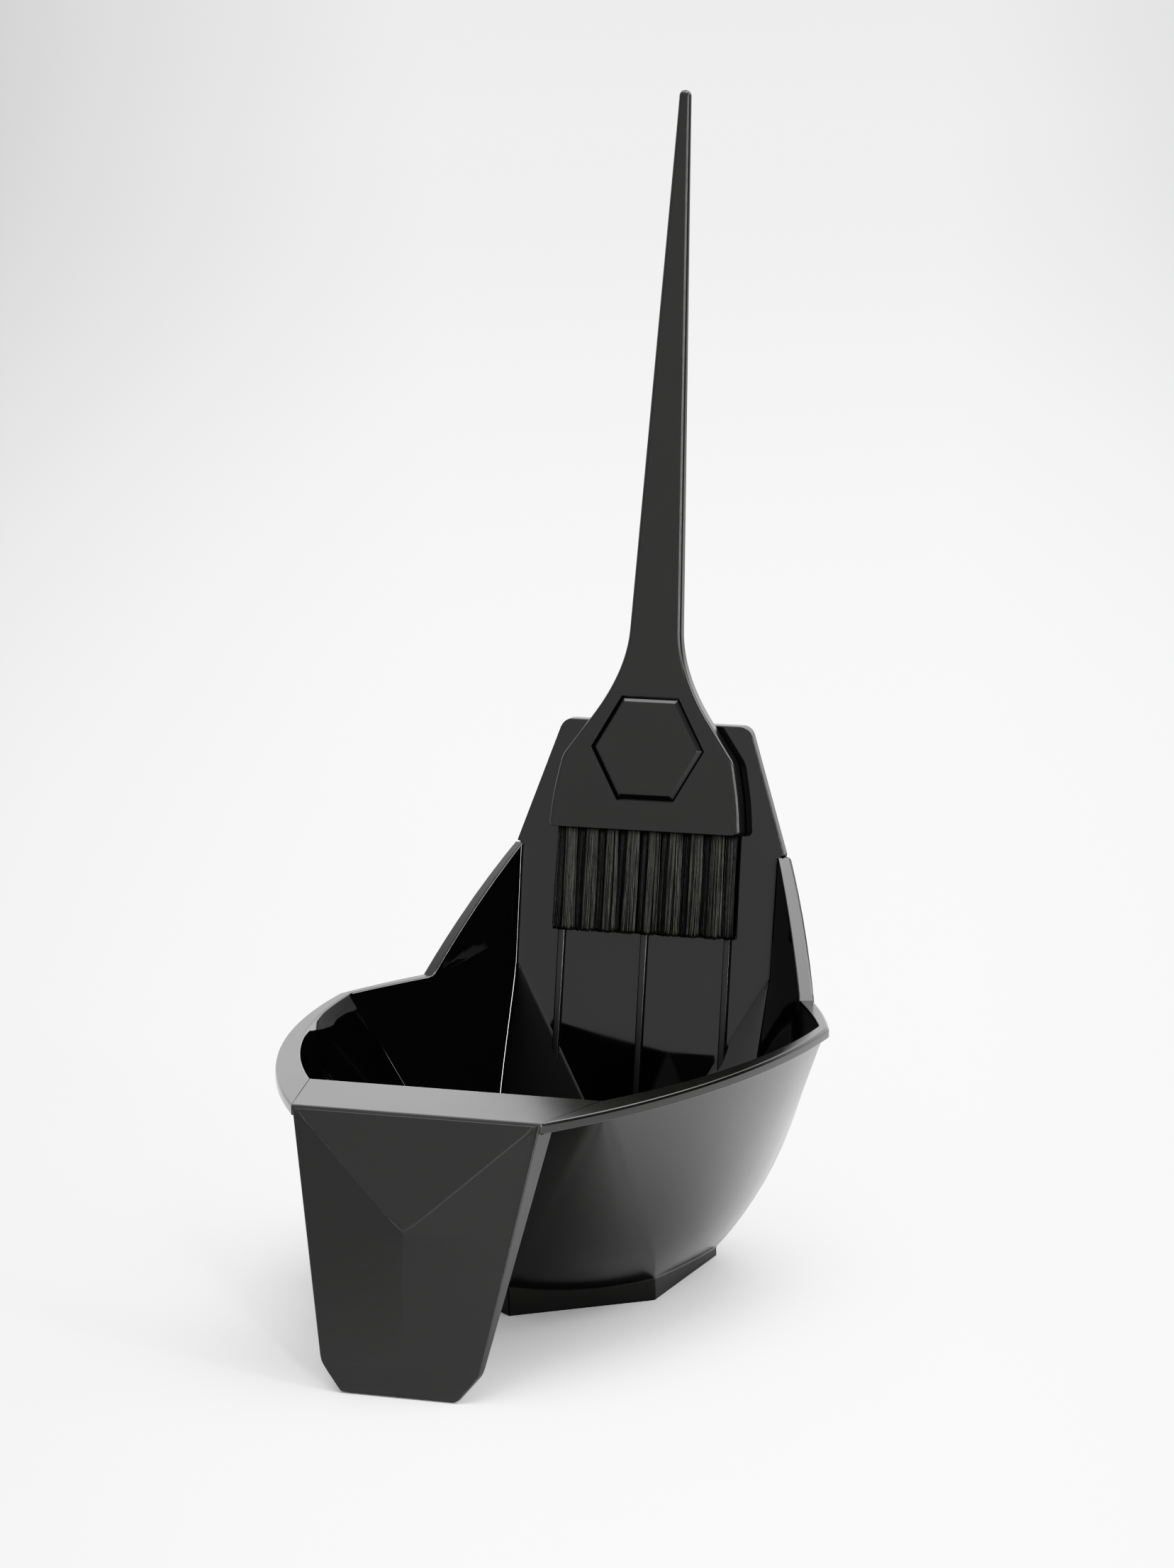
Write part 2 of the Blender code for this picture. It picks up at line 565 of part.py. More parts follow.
def make_tufts(fibre, wire, frame):
    """Bristle tufts, each folded over a flat wire staple at the bottom of its socket."""
    for name, x, w in tuft_places():
        rings = [rounded_box_ring(*TUFT_TIP, x, w, TUFT_END_U, 0.8 * MM, steps=2),
                 rounded_box_ring(*TUFT_TIP, x, w, TUFT_END_U + 12 * MM, 0.8 * MM, steps=2),
                 rounded_box_ring(*TUFT_ROOT, x, w, HEAD_END_U - 0.5 * MM, 0.5 * MM, steps=2),
                 rounded_box_ring(*TUFT_ROOT, x, w, TUFT_TOP_U, 0.5 * MM, steps=2)]
        add_object("bristle_tuft_" + name, skin(bmesh.new(), rings), fibre, frame)
        width, depth, height = STAPLE
        low = TUFT_TOP_U + GAP
        staple = box((x - width / 2, x + width / 2), (w - depth / 2, w + depth / 2),
                     (low, low + height))
        add_object("tuft_staple_" + name, staple, wire, frame)


def main():
    for obj in list(bpy.data.objects):
        bpy.data.objects.remove(obj, do_unlink=True)
    gloss_black = material("gloss_black", (0.012, 0.012, 0.013), 0.18)
    satin_black = material("satin_black", (0.022, 0.022, 0.021), 0.42)
    bristle = material("bristle_fibre", (0.045, 0.046, 0.038), 0.6)
    magnet_plating = material("magnet_plating", (0.6, 0.6, 0.62), 0.3, 1.0)
    staple_wire = material("staple_wire", (0.55, 0.5, 0.42), 0.35, 1.0)

    tab_front = LIP_FRONT.y - TAB_SLOPE * (RIM_Z - TAB_TIP_Z)
    wide_y = -(tab_front + brush_back()) / 2
    bowl_frame = add_empty("bowl_frame", (0.0, wide_y, 0.0))
    panel_at = (0.0, wide_y + INNER_REAR.y, RIM_Z)
    panel_frame = add_empty("panel_frame", panel_at, -PANEL_LEAN)
    brush_frame = add_empty("brush_frame", panel_at, -PANEL_LEAN)

    make_bowl(gloss_black, bowl_frame, panel_frame)
    make_panel_magnet(magnet_plating, gloss_black, panel_frame)
    make_handle(satin_black, brush_frame)
    make_brush_magnet(magnet_plating, brush_frame)
    make_cap(satin_black, brush_frame)
    make_tufts(bristle, staple_wire, brush_frame)
    bpy.context.view_layer.update()


main()
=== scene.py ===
"""Looks of the hair colour bowl and its docked tint brush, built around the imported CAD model.

Everything is in metres in the CAD's frame: the mirror plane is X = 0, the grip tab faces -Y and
the foot ring stands on Z = 0. Plan points below are in the bowl's own frame, whose Y = 0 is its
widest line; WIDE_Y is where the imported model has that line. U runs up the rear panel's slope from
the rim plane and W runs out of the panel, towards -Y.
"""

import random
from math import atan, cos, pi, radians, sin, tan

import bmesh
import bpy
import numpy as np
from mathutils import Matrix, Vector


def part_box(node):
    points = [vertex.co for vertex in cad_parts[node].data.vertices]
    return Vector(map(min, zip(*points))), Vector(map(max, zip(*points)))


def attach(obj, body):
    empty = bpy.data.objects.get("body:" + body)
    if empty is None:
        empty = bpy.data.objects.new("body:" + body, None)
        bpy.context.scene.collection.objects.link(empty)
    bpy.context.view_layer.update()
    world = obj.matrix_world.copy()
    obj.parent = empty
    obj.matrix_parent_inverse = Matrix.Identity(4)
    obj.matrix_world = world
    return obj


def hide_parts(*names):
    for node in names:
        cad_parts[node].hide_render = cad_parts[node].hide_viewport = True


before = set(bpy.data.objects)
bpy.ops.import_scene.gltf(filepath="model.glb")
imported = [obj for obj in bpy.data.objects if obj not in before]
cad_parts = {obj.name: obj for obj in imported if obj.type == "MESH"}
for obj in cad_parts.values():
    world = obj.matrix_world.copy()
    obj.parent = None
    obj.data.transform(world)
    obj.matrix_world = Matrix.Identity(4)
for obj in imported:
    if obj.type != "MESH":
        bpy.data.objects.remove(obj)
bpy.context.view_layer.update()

MM = 0.001
WELD = 0.004 * MM            # points closer than this are one
SHARP = radians(40)          # edges that turn by more than this stay sharp

# ---------------------------------------------------------------- driving dimensions
RIM_Z = 65.3 * MM
RIM_THICK = 2.6 * MM
CHAMFER = 0.7 * MM
WALL = 2.2 * MM

# plan corners of the right half: front, widest and rear corner, then the foot ring's corners
MOUTH = np.array([(38.0, -83.6), (63.6, -1.5), (35.0, 42.3)]) * MM
LIP = np.array([(32.0, -107.5), (66.7, -2.0), (37.6, 44.8)]) * MM
FOOT = np.array([(0.0, -54.0), (29.8, -31.0), (30.8, 10.0), (0.0, 31.4)]) * MM
# one value for each facet: front, front corner, side, rear, rear corner
MOUTH_BOWS = np.array([0.0, 0.0, 6.6, 1.6, 0.0]) * MM
LIP_BOWS = np.array([0.0, 0.0, 9.0, 2.4, 0.0]) * MM
PILLOW = (0.05, 0.09, 0.05, 0.13, 0.10)      # how far it bows out, as a share of its width
# one value for each crease of the right half, from the front
CREASE_SWELL = np.array([2.8, 3.0, 3.6, 3.6, 0.0]) * MM    # how far it bows out half way down
OUTSIDE_SOFT = np.array([1.6, 1.8, 1.6, 1.6, 1.6]) * MM    # rounding to either side of it
INSIDE_SOFT = np.array([0.8, 0.8, 0.8, 0.6, 0.6]) * MM
LIP_SOFT = np.array([0.3, 0.3, 1.2, 0.9, 0.9]) * MM
MOUTH_SOFT = np.array([0.5, 0.5, 1.0, 0.6, 0.6]) * MM
FOOT_SOFT = 0.5 * MM
SWELL_SHAPE = 1.87           # makes the swell's largest value 1 on the curve d * (1 - d ** 4)
# levels of the walls, as shares of their depth
OUTER_DEPTHS = (0.985, 0.965, 0.94, 0.9, 0.85, 0.79, 0.72, 0.64, 0.56, 0.48, 0.4, 0.32, 0.24,
                0.16, 0.1)
INNER_DEPTHS = (0.05, 0.1, 0.16, 0.24, 0.32, 0.4, 0.48, 0.56, 0.64, 0.72, 0.79, 0.85, 0.9, 0.94,
                0.97)

FOOT_JOINT = np.array([7.5, 5.7, 2.4, 2.4, 4.5]) * MM    # height of each crease's foot
FOOT_DIP = np.array([0.0, 1.7, 0.3, 0.0, 0.8]) * MM      # the joint line dips between them
FOOT_WIDTH = 2.6 * MM
RECESS_Z = 1.6 * MM
FLOOR_Z = 4.6 * MM

PANEL_SLOPE = 0.22
PANEL_LEAN = atan(PANEL_SLOPE)
PANEL_THICK = 2.5 * MM
PANEL_TOP = 62.7 * MM
PANEL_TOP_HALF = 25.8 * MM
PANEL_BASE_HALF = 37.1 * MM
PANEL_CORNER = 3.5 * MM
WING_START = 0.505
WING_CROWN = 1.0 * MM
WING_RISE = 30.3 * MM
WING_SPREAD = 0.01           # the fold between wing and panel leans out by this much

TAB_SLOPE = 0.238
TAB_TIP_Z = 0.25 * MM
TAB_CORNER_Z = 6.8 * MM
TAB_HALF = 32.0 * MM
TAB_CORNER_HALF = 20.5 * MM
TAB_TIP_HALF = 14.8 * MM
TAB_NODE_Z = RIM_Z - 24.2 * MM
TAB_NODE_HALF = 3.6 * MM
TAB_RIDGE = 2.4 * MM
TAB_RIDGE_END_Z = 8.0 * MM
TAB_STEP = 0.42 * MM         # the tab's upper facet stands proud by this much
TAB_STEP_RUN = 0.085 * MM
TAB_THICK = 2.2 * MM
TAB_EDGE = 0.55 * MM         # rounding of the tab's long edges
TAB_RETURN_TOP = 6.4 * MM
TAB_RETURN_FLARE = 0.24      # the returns open out towards their back edges
TAB_RETURN_TIP = 1.5 * MM

RIB_X = 23.0 * MM
RIB_WIDTH = 1.9 * MM
RIB_PROUD = 0.8 * MM
RIB_TOP_U = 13.0 * MM        # the ribs end behind the bristles
RIB_SIDE_LOW_U = -26.0 * MM
RIB_MIDDLE_LOW_U = -46.0 * MM
ROOT = 0.5 * MM              # overlap where one shape starts inside another
BOSS_U = 53.0 * MM
BOSS_R = 10.5 * MM
BOSS_PROUD = 3.4 * MM
MAGNET_R = 8.0 * MM
POCKET_DEPTH = 4.4 * MM
BRUSH_POCKET_DEPTH = 1.8 * MM
CUT_PAST = 3.0 * MM          # how far a cutter runs past the face it opens
GAP = 0.3 * MM               # clearance between touching pieces

HEAD_THICK = 5.0 * MM
HEAD_MID = GAP + HEAD_THICK / 2
HEAD_END_U = 36.0 * MM
HEAD_HALF = 26.5 * MM
HEAD_CORNER = 1.4 * MM
SHOULDER_U = 54.7 * MM
SHOULDER_HALF = 23.8 * MM
NECK_U = 64.5 * MM
NECK_HALF = 16.6 * MM
HANDLE_U = 88.0 * MM
HANDLE_HALF = 7.1 * MM
TIP_U = 228.0 * MM
TIP_HALF = 1.55 * MM
HANDLE_THICK = 4.0 * MM
TIP_THICK = 2.4 * MM
BRUSH_EDGE = 1.1 * MM

HEX_U = 57.2 * MM
HEX_R = 15.6 * MM
CAP_DEPTH = 1.8 * MM
CAP_PROUD = 0.4 * MM
CAP_BEVEL = 1.4 * MM
CAP_BEVEL_DEPTH = 0.95 * MM

FRONT_TUFTS = 8
REAR_TUFTS = 9
TUFT_PITCH = 5.8 * MM
ROW_OFFSET = 1.15 * MM
TUFT_END_U = 8.9 * MM
TUFT_ROOT = (3.3 * MM, 1.1 * MM)
TUFT_TIP = {"front": (4.1 * MM, 1.9 * MM), "rear": (4.1 * MM, 1.3 * MM)}
SOCKET = (3.5 * MM, 1.7 * MM)
SOCKET_TOP_U = HEAD_END_U + 6.8 * MM
TUFT_TOP_U = HEAD_END_U + 3.5 * MM
STRANDS = 120
STRAND_R = 0.105 * MM
STRAND_STEPS = (0.0, 0.2, 0.4, 0.6, 0.8, 0.975, 1.0)

TAB_TIP_Y = LIP[0][1] - TAB_SLOPE * (RIM_Z - TAB_TIP_Z)
WIDE_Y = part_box("bowl_shell")[0].y - TAB_TIP_Y
PANEL_FOOT = Vector((0.0, WIDE_Y + MOUTH[2][1], RIM_Z))
PANEL_FRAME = Matrix.Translation(PANEL_FOOT) @ Matrix.Rotation(-PANEL_LEAN, 4, "X")
PANEL_BACK = -PANEL_THICK * cos(PANEL_LEAN)      # W of the panel's back
HEAD_FRONT = HEAD_MID + HEAD_THICK / 2           # W of the brush head's front

# ---------------------------------------------------------------- studio and camera
CAMERA_PLACE = (0.5334, -1.3038, 0.4183)
CAMERA_TURN = (radians(78.282), radians(1.509), radians(21.577))
CAMERA_LENS = 133.27
SENSOR_HEIGHT = 36.0
FLOOR_HALF = 12.0
POOL_TURN = radians(20.7)            # the painted pool of light on the floor widens along this direction
POOL_START = (-0.038, 1.408, 0.0)
POOL_SIDES = (0.045, 0.125)          # where the painted pool starts to fade into painted side shade, and ends, as X over Y
POOL_FAR = (1.5, 4.5)                # where painted light starts to lighten the paper, and ends
# paper colours with painted light and shade: the pool near the object, painted lighter far off,
# painted darker to its sides as painted shade
POOL_PAINT_NEAR = (0.66, 0.66, 0.66)
POOL_PAINT_FAR = (0.92, 0.92, 0.92)
PAINTED_SIDE_SHADE = (0.52, 0.52, 0.52)
SKY_AXIS = (0.485, -0.1, 0.0)        # the surroundings' ramp runs along this direction
SKY_LEVELS = ((0.0, 0.48), (0.28, 0.5), (0.39, 0.6), (0.5, 0.74), (0.66, 0.5), (0.80, 0.02))
SKY_STRENGTH = (1.6, 2.35)           # in front, and behind
LIGHT_TARGET = (0.0, 0.0, 0.1)
LIGHTS = (                           # name, place, width and height, watts
    ("side_strip", (1.3, -0.47, 0.4), (0.12, 0.9), 9.0),
    ("front_strip", (0.86, -1.15, 0.45), (0.10, 0.9), 8.0),
    ("top_box", (0.1, 0.1, 1.6), (1.5, 1.5), 26.0),
    ("right_box", (1.3, 0.5, 1.25), (1.0, 1.0), 16.0))
CURVE_WHITE = 2.0
CURVE = ((0.012, 0.0045), (0.022, 0.0115), (0.041, 0.033), (0.067, 0.078), (0.114, 0.155),
         (0.168, 0.245), (0.25, 0.355), (0.35, 0.47), (0.5, 0.61), (0.7, 0.77), (1.0, 0.9),
         (1.4, 0.95))

# ---------------------------------------------------------------- node materials
def shader_material(name, colour, roughness, metallic=0.0, ior=1.5):
    """A material with a Principled shader; returns it with its node tree and the shader."""
    mat = bpy.data.materials.new(name)
    mat.use_nodes = True
    tree = mat.node_tree
    shader = tree.nodes["Principled BSDF"]
    shader.inputs["Base Color"].default_value = (*colour, 1.0)
    shader.inputs["Roughness"].default_value = roughness
    shader.inputs["Metallic"].default_value = metallic
    shader.inputs["IOR"].default_value = ior
    return mat, tree, shader


def noise(tree, scale, detail=2.0, stretch=None):
    """Noise over the piece's own coordinates, in cells per metre."""
    place = tree.nodes.new("ShaderNodeTexCoord")
    texture = tree.nodes.new("ShaderNodeTexNoise")
    texture.inputs["Scale"].default_value = scale
    texture.inputs["Detail"].default_value = detail
    source = place.outputs["Object"]
    if stretch:
        mapping = tree.nodes.new("ShaderNodeMapping")
        mapping.inputs["Scale"].default_value = stretch
        tree.links.new(source, mapping.inputs["Vector"])
        source = mapping.outputs["Vector"]
    tree.links.new(source, texture.inputs["Vector"])
    return texture.outputs["Fac"]


def spread(tree, value, low, high, from_low=0.35, from_high=0.65):
    """Maps a noise value onto a range."""
    node = tree.nodes.new("ShaderNodeMapRange")
    node.inputs["From Min"].default_value = from_low
    node.inputs["From Max"].default_value = from_high
    node.inputs["To Min"].default_value = low
    node.inputs["To Max"].default_value = high
    tree.links.new(value, node.inputs["Value"])
    return node.outputs["Result"]


def math_node(tree, operation, first, second=None):
    """A Math node on one or two links."""
    node = tree.nodes.new("ShaderNodeMath")
    node.operation = operation
    tree.links.new(first, node.inputs[0])
    if second:
        tree.links.new(second, node.inputs[1])
    return node.outputs["Value"]


def blend_colours(tree, factor, first, second):
    """Mixes two colours by a link."""
    node = tree.nodes.new("ShaderNodeMix")
    node.data_type = "RGBA"
    node.inputs["A"].default_value = (*first, 1.0)
    node.inputs["B"].default_value = (*second, 1.0)
    tree.links.new(factor, node.inputs["Factor"])
    return node.outputs["Result"]


def add_bump(tree, shader, height, distance):
    """Gives the shader a bump."""
    node = tree.nodes.new("ShaderNodeBump")
    node.inputs["Strength"].default_value = 1.0
    node.inputs["Distance"].default_value = distance
    tree.links.new(height, node.inputs["Height"])
    tree.links.new(node.outputs["Normal"], shader.inputs["Normal"])


def polished_plastic():
    """Inside of the bowl and face of the panel: mirror-like black with faint handling marks."""
    mat, tree, shader = shader_material("polished_black", (0.0015, 0.0015, 0.0015), 0.06)
    marks = noise(tree, 60.0, 4.0)
    tree.links.new(spread(tree, marks, 0.02, 0.06, 0.2, 0.8), shader.inputs["Roughness"])
    tint = blend_colours(tree, noise(tree, 25.0), (0.001, 0.001, 0.001), (0.002, 0.002, 0.0018))
    tree.links.new(tint, shader.inputs["Base Color"])
    add_bump(tree, shader, noise(tree, 40.0, 1.0), 0.00003)
    return mat


def satin_plastic(name, roughness, grain, ior=1.46, specular=0.5):
    """Spark-textured moulding: a fine grain, slight sheen changes and a few rubbed places."""
    colour = (0.0025, 0.0025, 0.0022)
    mat, tree, shader = shader_material(name, colour, roughness, ior=ior)
    shader.inputs["Specular IOR Level"].default_value = specular
    rubbed = noise(tree, 38.0, 2.0)
    tree.links.new(spread(tree, rubbed, roughness - 0.035, roughness + 0.02, 0.2, 0.8),
                   shader.inputs["Roughness"])
    lighter = tuple(1.5 * c for c in colour)
    tree.links.new(blend_colours(tree, noise(tree, 70.0, 3.0), colour, lighter),
                   shader.inputs["Base Color"])
    add_bump(tree, shader, noise(tree, 2600.0, 1.0), grain)
    return mat


def bristle_fibre(name, light):
    """Dark olive-grey nylon: each strand has its own tone, lighter where it is rubbed. A darker
    colour given for the rear row is painted shade.
    """
    mat, tree, shader = shader_material(name, light, 0.42)
    streaks = noise(tree, 1500.0, 2.0, (1.0, 0.4, 0.03))
    tone = spread(tree, streaks, 0.0, 1.0)
    tree.links.new(blend_colours(tree, tone, tuple(0.12 * c for c in light), light),
                   shader.inputs["Base Color"])
    tree.links.new(spread(tree, noise(tree, 900.0), 0.32, 0.5), shader.inputs["Roughness"])
    return mat


def plated_metal(name, colour, roughness, scratches):
    """Nickel-plated magnet or flat drawn wire, with fine marks along one direction."""
    mat, tree, shader = shader_material(name, colour, roughness, metallic=1.0)
    marks = noise(tree, 900.0, 3.0, scratches)
    tree.links.new(spread(tree, marks, roughness - 0.08, roughness + 0.12),
                   shader.inputs["Roughness"])
    darker = tuple(0.8 * c for c in colour)
    tree.links.new(blend_colours(tree, noise(tree, 200.0), colour, darker),
                   shader.inputs["Base Color"])
    add_bump(tree, shader, marks, 0.00002)
    return mat


def painted_pool_floor():
    """White paper with a painted pool of light that widens towards the back: painted lighter far
    off, and painted shade where it fades to its sides.
    """
    mat, tree, shader = shader_material("painted_pool_floor", POOL_PAINT_NEAR, 0.6)
    shader.inputs["Specular IOR Level"].default_value = 0.2
    place = tree.nodes.new("ShaderNodeTexCoord")
    turn = tree.nodes.new("ShaderNodeMapping")
    turn.inputs["Rotation"].default_value = (0.0, 0.0, -POOL_TURN)
    turn.inputs["Location"].default_value = POOL_START
    tree.links.new(place.outputs["Object"], turn.inputs["Vector"])
    parts = tree.nodes.new("ShaderNodeSeparateXYZ")
    tree.links.new(turn.outputs["Vector"], parts.inputs["Vector"])
    aside = math_node(tree, "DIVIDE", parts.outputs["X"], parts.outputs["Y"])
    aside = math_node(tree, "ABSOLUTE", aside)
    fade = spread(tree, aside, 0.0, 1.0, *POOL_SIDES)
    far = spread(tree, parts.outputs["Y"], 0.0, 1.0, *POOL_FAR)
    # painted light: the paper's colour lightens towards the back
    paper = blend_colours(tree, far, POOL_PAINT_NEAR, POOL_PAINT_FAR)
    # painted shade: the colour darkens to the pool's sides
    node = tree.nodes.new("ShaderNodeMix")
    node.data_type = "RGBA"
    node.inputs["B"].default_value = (*PAINTED_SIDE_SHADE, 1.0)
    tree.links.new(paper, node.inputs["A"])
    tree.links.new(fade, node.inputs["Factor"])
    tree.links.new(node.outputs["Result"], shader.inputs["Base Color"])
    return mat


# ---------------------------------------------------------------- mesh helpers
def new_object(name, mesh):
    """An object in the scene that shows a mesh."""
    obj = bpy.data.objects.new(name, mesh)
    bpy.context.collection.objects.link(obj)
    return obj


def finish_mesh(name, bm, materials, place=None, sharp=SHARP):
    """Makes a smooth-shaded object of a bmesh, in the CAD's frame or moved there by place."""
    bmesh.ops.remove_doubles(bm, verts=bm.verts, dist=WELD)
    bmesh.ops.recalc_face_normals(bm, faces=bm.faces)
    mesh = bpy.data.meshes.new(name)
    bm.to_mesh(mesh)
    bm.free()
    if place:
        mesh.transform(place)
    for mat in materials:
        mesh.materials.append(mat)
    mesh.shade_smooth()
    mesh.set_sharp_from_angle(angle=sharp)
    return new_object(name, mesh)


def skin(bm, rings, cap_start=True, cap_end=True):
    """Joins closed rings of equal length with quads and caps the two ends."""
    rows = [[bm.verts.new(tuple(point)) for point in ring] for ring in rings]
    for low, high in zip(rows, rows[1:]):
        for i in range(len(low)):
            j = (i + 1) % len(low)
            bm.faces.new((low[i], low[j], high[j], high[i]))
    if cap_start:
        bm.faces.new(list(reversed(rows[0])))
    if cap_end:
        bm.faces.new(rows[-1])
    return bm


def soften(bm, width, segments=2, angle=radians(30)):
    """Rounds every edge of a bmesh whose faces meet at more than an angle."""
    bmesh.ops.remove_doubles(bm, verts=bm.verts, dist=WELD)
    bmesh.ops.recalc_face_normals(bm, faces=bm.faces)
    edges = [e for e in bm.edges if e.is_manifold and e.calc_face_angle() > angle]
    bmesh.ops.bevel(bm, geom=edges, offset=width, segments=segments, profile=0.5,
                    affect="EDGES", clamp_overlap=True)
    return bm


def prism(outline, low, high):
    """Solid between two distances W from the panel, over an outline of X and U."""
    return skin(bmesh.new(), [[(x, -w, u) for x, u in outline] for w in (low, high)])


def box(x_range, w_range, u_range):
    """Solid block, in the panel's frame."""
    return prism([(x_range[0], u_range[0]), (x_range[1], u_range[0]),
                  (x_range[1], u_range[1]), (x_range[0], u_range[1])], *w_range)


def disc(radius, centre_u, sides=72):
    """Round outline of X and U."""
    return [(radius * cos(2 * pi * i / sides), centre_u + radius * sin(2 * pi * i / sides))
            for i in range(sides)]


def hexagon(radius, centre_u):
    """Outline with a corner to either side."""
    return disc(radius, centre_u, 6)


def combine(target, tool, operation):
    """Applies a Boolean, removes the tool and marks the new sharp edges."""
    modifier = target.modifiers.new("cut", "BOOLEAN")
    modifier.operation = operation
    modifier.object = tool
    modifier.solver = "EXACT"
    bpy.context.view_layer.update()
    graph = bpy.context.evaluated_depsgraph_get()
    mesh = bpy.data.meshes.new_from_object(target.evaluated_get(graph))
    target.modifiers.clear()
    mesh.set_sharp_from_angle(angle=SHARP)
    target.data = mesh
    bpy.data.objects.remove(tool)


def even_normals(obj):
    """Keeps flat faces flat next to their rounded edges."""
    modifier = obj.modifiers.new("even_normals", "WEIGHTED_NORMAL")
    modifier.keep_sharp = True
    modifier.weight = 80


# ---------------------------------------------------------------- bowl shell
# The plan ring has ten creases: the front corner's two, the side's, the rear corner's two and
# their mirror images. Each crease is followed by a facet. Shares say where a facet has points.
def even(count):
    """Evenly spaced shares between 0 and 1."""
    return [(i + 1) / (count + 1) for i in range(count)]


WING_SHARES = [0.12, 0.24, 0.35, 0.43, 0.48, WING_START, 0.53, 0.57, 0.63, 0.7, 0.78, 0.86, 0.94]
PANEL_STATIONS = 16          # points on each half of the panel facet, besides the middle one
FACETS = [even(7), even(30), WING_SHARES, even(7), even(2 * PANEL_STATIONS + 1), even(7),
          [1 - s for s in reversed(WING_SHARES)], even(30), even(7), even(13)]
CREASE_OFFSETS = (-1.0, -0.5, 0.0, 0.5, 1.0)
DENSE = 40


def both_sides(right):
    """Ten values, one for each crease, of the five of the right half."""
    right = np.array(right, float)
    left = right[::-1].copy()
    if left.ndim == 2:
        left[:, 0] *= -1
    return np.concatenate([right, left])


def facet_values(front, corner, side, rear, rear_corner, panel=0.0):
    """Ten values, one for the facet after each crease."""
    return np.array([corner, side, rear, rear_corner, panel,
                     rear_corner, rear, side, corner, front])


def stations():
    """For every point of a ring: its crease or facet, and its place on it."""
    listed = []
    for k, shares in enumerate(FACETS):
        listed += [("crease", k, offset) for offset in CREASE_OFFSETS]
        listed += [("facet", k, share) for share in shares]
    return listed


STATIONS = stations()


def station_values(at_crease, dip):
    """A value for each station, from one at each crease and the dip of each facet."""
    values = []
    for kind, k, t in STATIONS:
        if kind == "crease":
            values.append(at_crease[k])
        else:
            after = at_crease[(k + 1) % len(at_crease)]
            values.append(at_crease[k] + (after - at_crease[k]) * t - 4 * dip[k] * t * (1 - t))
    return np.array(values)


def around(corners, bows, soft):
    """Plan ring through the ten corners: bowed facets, and corners rounded over soft each way."""
    after = np.roll(corners, -1, axis=0)
    chord = after - corners
    width = np.hypot(chord[:, 0], chord[:, 1])
    out = np.stack([chord[:, 1], -chord[:, 0]], axis=1) / np.maximum(width, 1e-9)[:, None]
    t = (np.arange(DENSE) / DENSE)[None, :, None]
    bow = 4 * t * (1 - t) * bows[:, None, None]
    curve = (corners[:, None] + chord[:, None] * t + out[:, None] * bow).reshape(-1, 2)
    curve = np.vstack([curve, curve[:1]])
    steps = np.hypot(*np.diff(curve, axis=0).T)
    run = np.concatenate([[0.0], np.cumsum(steps)])
    total = run[-1]
    starts = run[::DENSE]
    spans = np.diff(starts)
    back = np.minimum(soft, 0.45 * np.roll(spans, 1))
    ahead = np.minimum(soft, 0.45 * spans)
    places = []
    windows = []
    for kind, k, value in STATIONS:
        if kind == "crease":
            places.append(starts[k] + value * (back[k] if value < 0 else ahead[k]))
            windows.append(soft[k])
        else:
            end = starts[k] + spans[k] - back[(k + 1) % len(back)]
            places.append(starts[k] + ahead[k] + (end - starts[k] - ahead[k]) * value)
            windows.append(0.02 * MM)
    samples = np.array(places)[:, None] + np.array(windows)[:, None] * np.linspace(-1, 1, 17)
    xs = np.interp(samples, run, curve[:, 0], period=total).mean(axis=1)
    ys = np.interp(samples, run, curve[:, 1], period=total).mean(axis=1)
    return np.stack([xs, ys], axis=1)


def offset_corners(corners, distance):
    """Moves the ten corners outwards; corners that coincide stay together."""
    count = len(corners)
    moved = []
    for i in range(count):
        before = next(corners[(i - k) % count] for k in range(1, count)
                      if np.abs(corners[(i - k) % count] - corners[i]).max() > 1e-7)
        after = next(corners[(i + k) % count] for k in range(1, count)
                     if np.abs(corners[(i + k) % count] - corners[i]).max() > 1e-7)
        normals = []
        for a, b in ((before, corners[i]), (corners[i], after)):
            run = (b - a) / np.hypot(*(b - a))
            normals.append(np.array([run[1], -run[0]]))
        mitre = normals[0] + normals[1]
        mitre /= np.hypot(*mitre)
        moved.append(corners[i] + mitre * (distance / max(mitre @ normals[0], 0.5)))
    return np.array(moved)


MOUTH_CORNERS = both_sides([MOUTH[0], MOUTH[0], MOUTH[1], MOUTH[2], MOUTH[2]])
LIP_CORNERS = both_sides([LIP[0], LIP[0], LIP[1], LIP[2], LIP[2]])
FOOT_CORNERS = both_sides([FOOT[0], FOOT[1], FOOT[2], FOOT[2], FOOT[3]])
PUSH = both_sides([(0.0, -1.0), (0.82, -0.57), (0.96, 0.28), (0.84, 0.54), (0.0, 1.0)])
SWELL = both_sides(CREASE_SWELL)
PILLOWS = facet_values(*PILLOW)


def wall_ring(top, bottom, low_z, depth, soft, pillow=1.0):
    """Ring of a bowl wall at a share of its depth, from the rim plane (0) to the foot (1)."""
    shape = SWELL_SHAPE * depth * (1 - depth ** 4)
    corners = top + (bottom - top) * depth + PUSH * (SWELL * shape)[:, None]
    widths = np.hypot(*(np.roll(corners, -1, axis=0) - corners).T)
    bows = facet_values(*MOUTH_BOWS) * (1 - depth) + pillow * PILLOWS * widths * shape
    plan = around(corners, bows, soft)
    return np.column_stack([plan, RIM_Z + (low_z - RIM_Z) * depth])


def flat_ring(plan, z):
    """Ring over a plan, at one height or at one for each point."""
    return np.column_stack([plan, np.full(len(plan), z) if np.isscalar(z) else z])


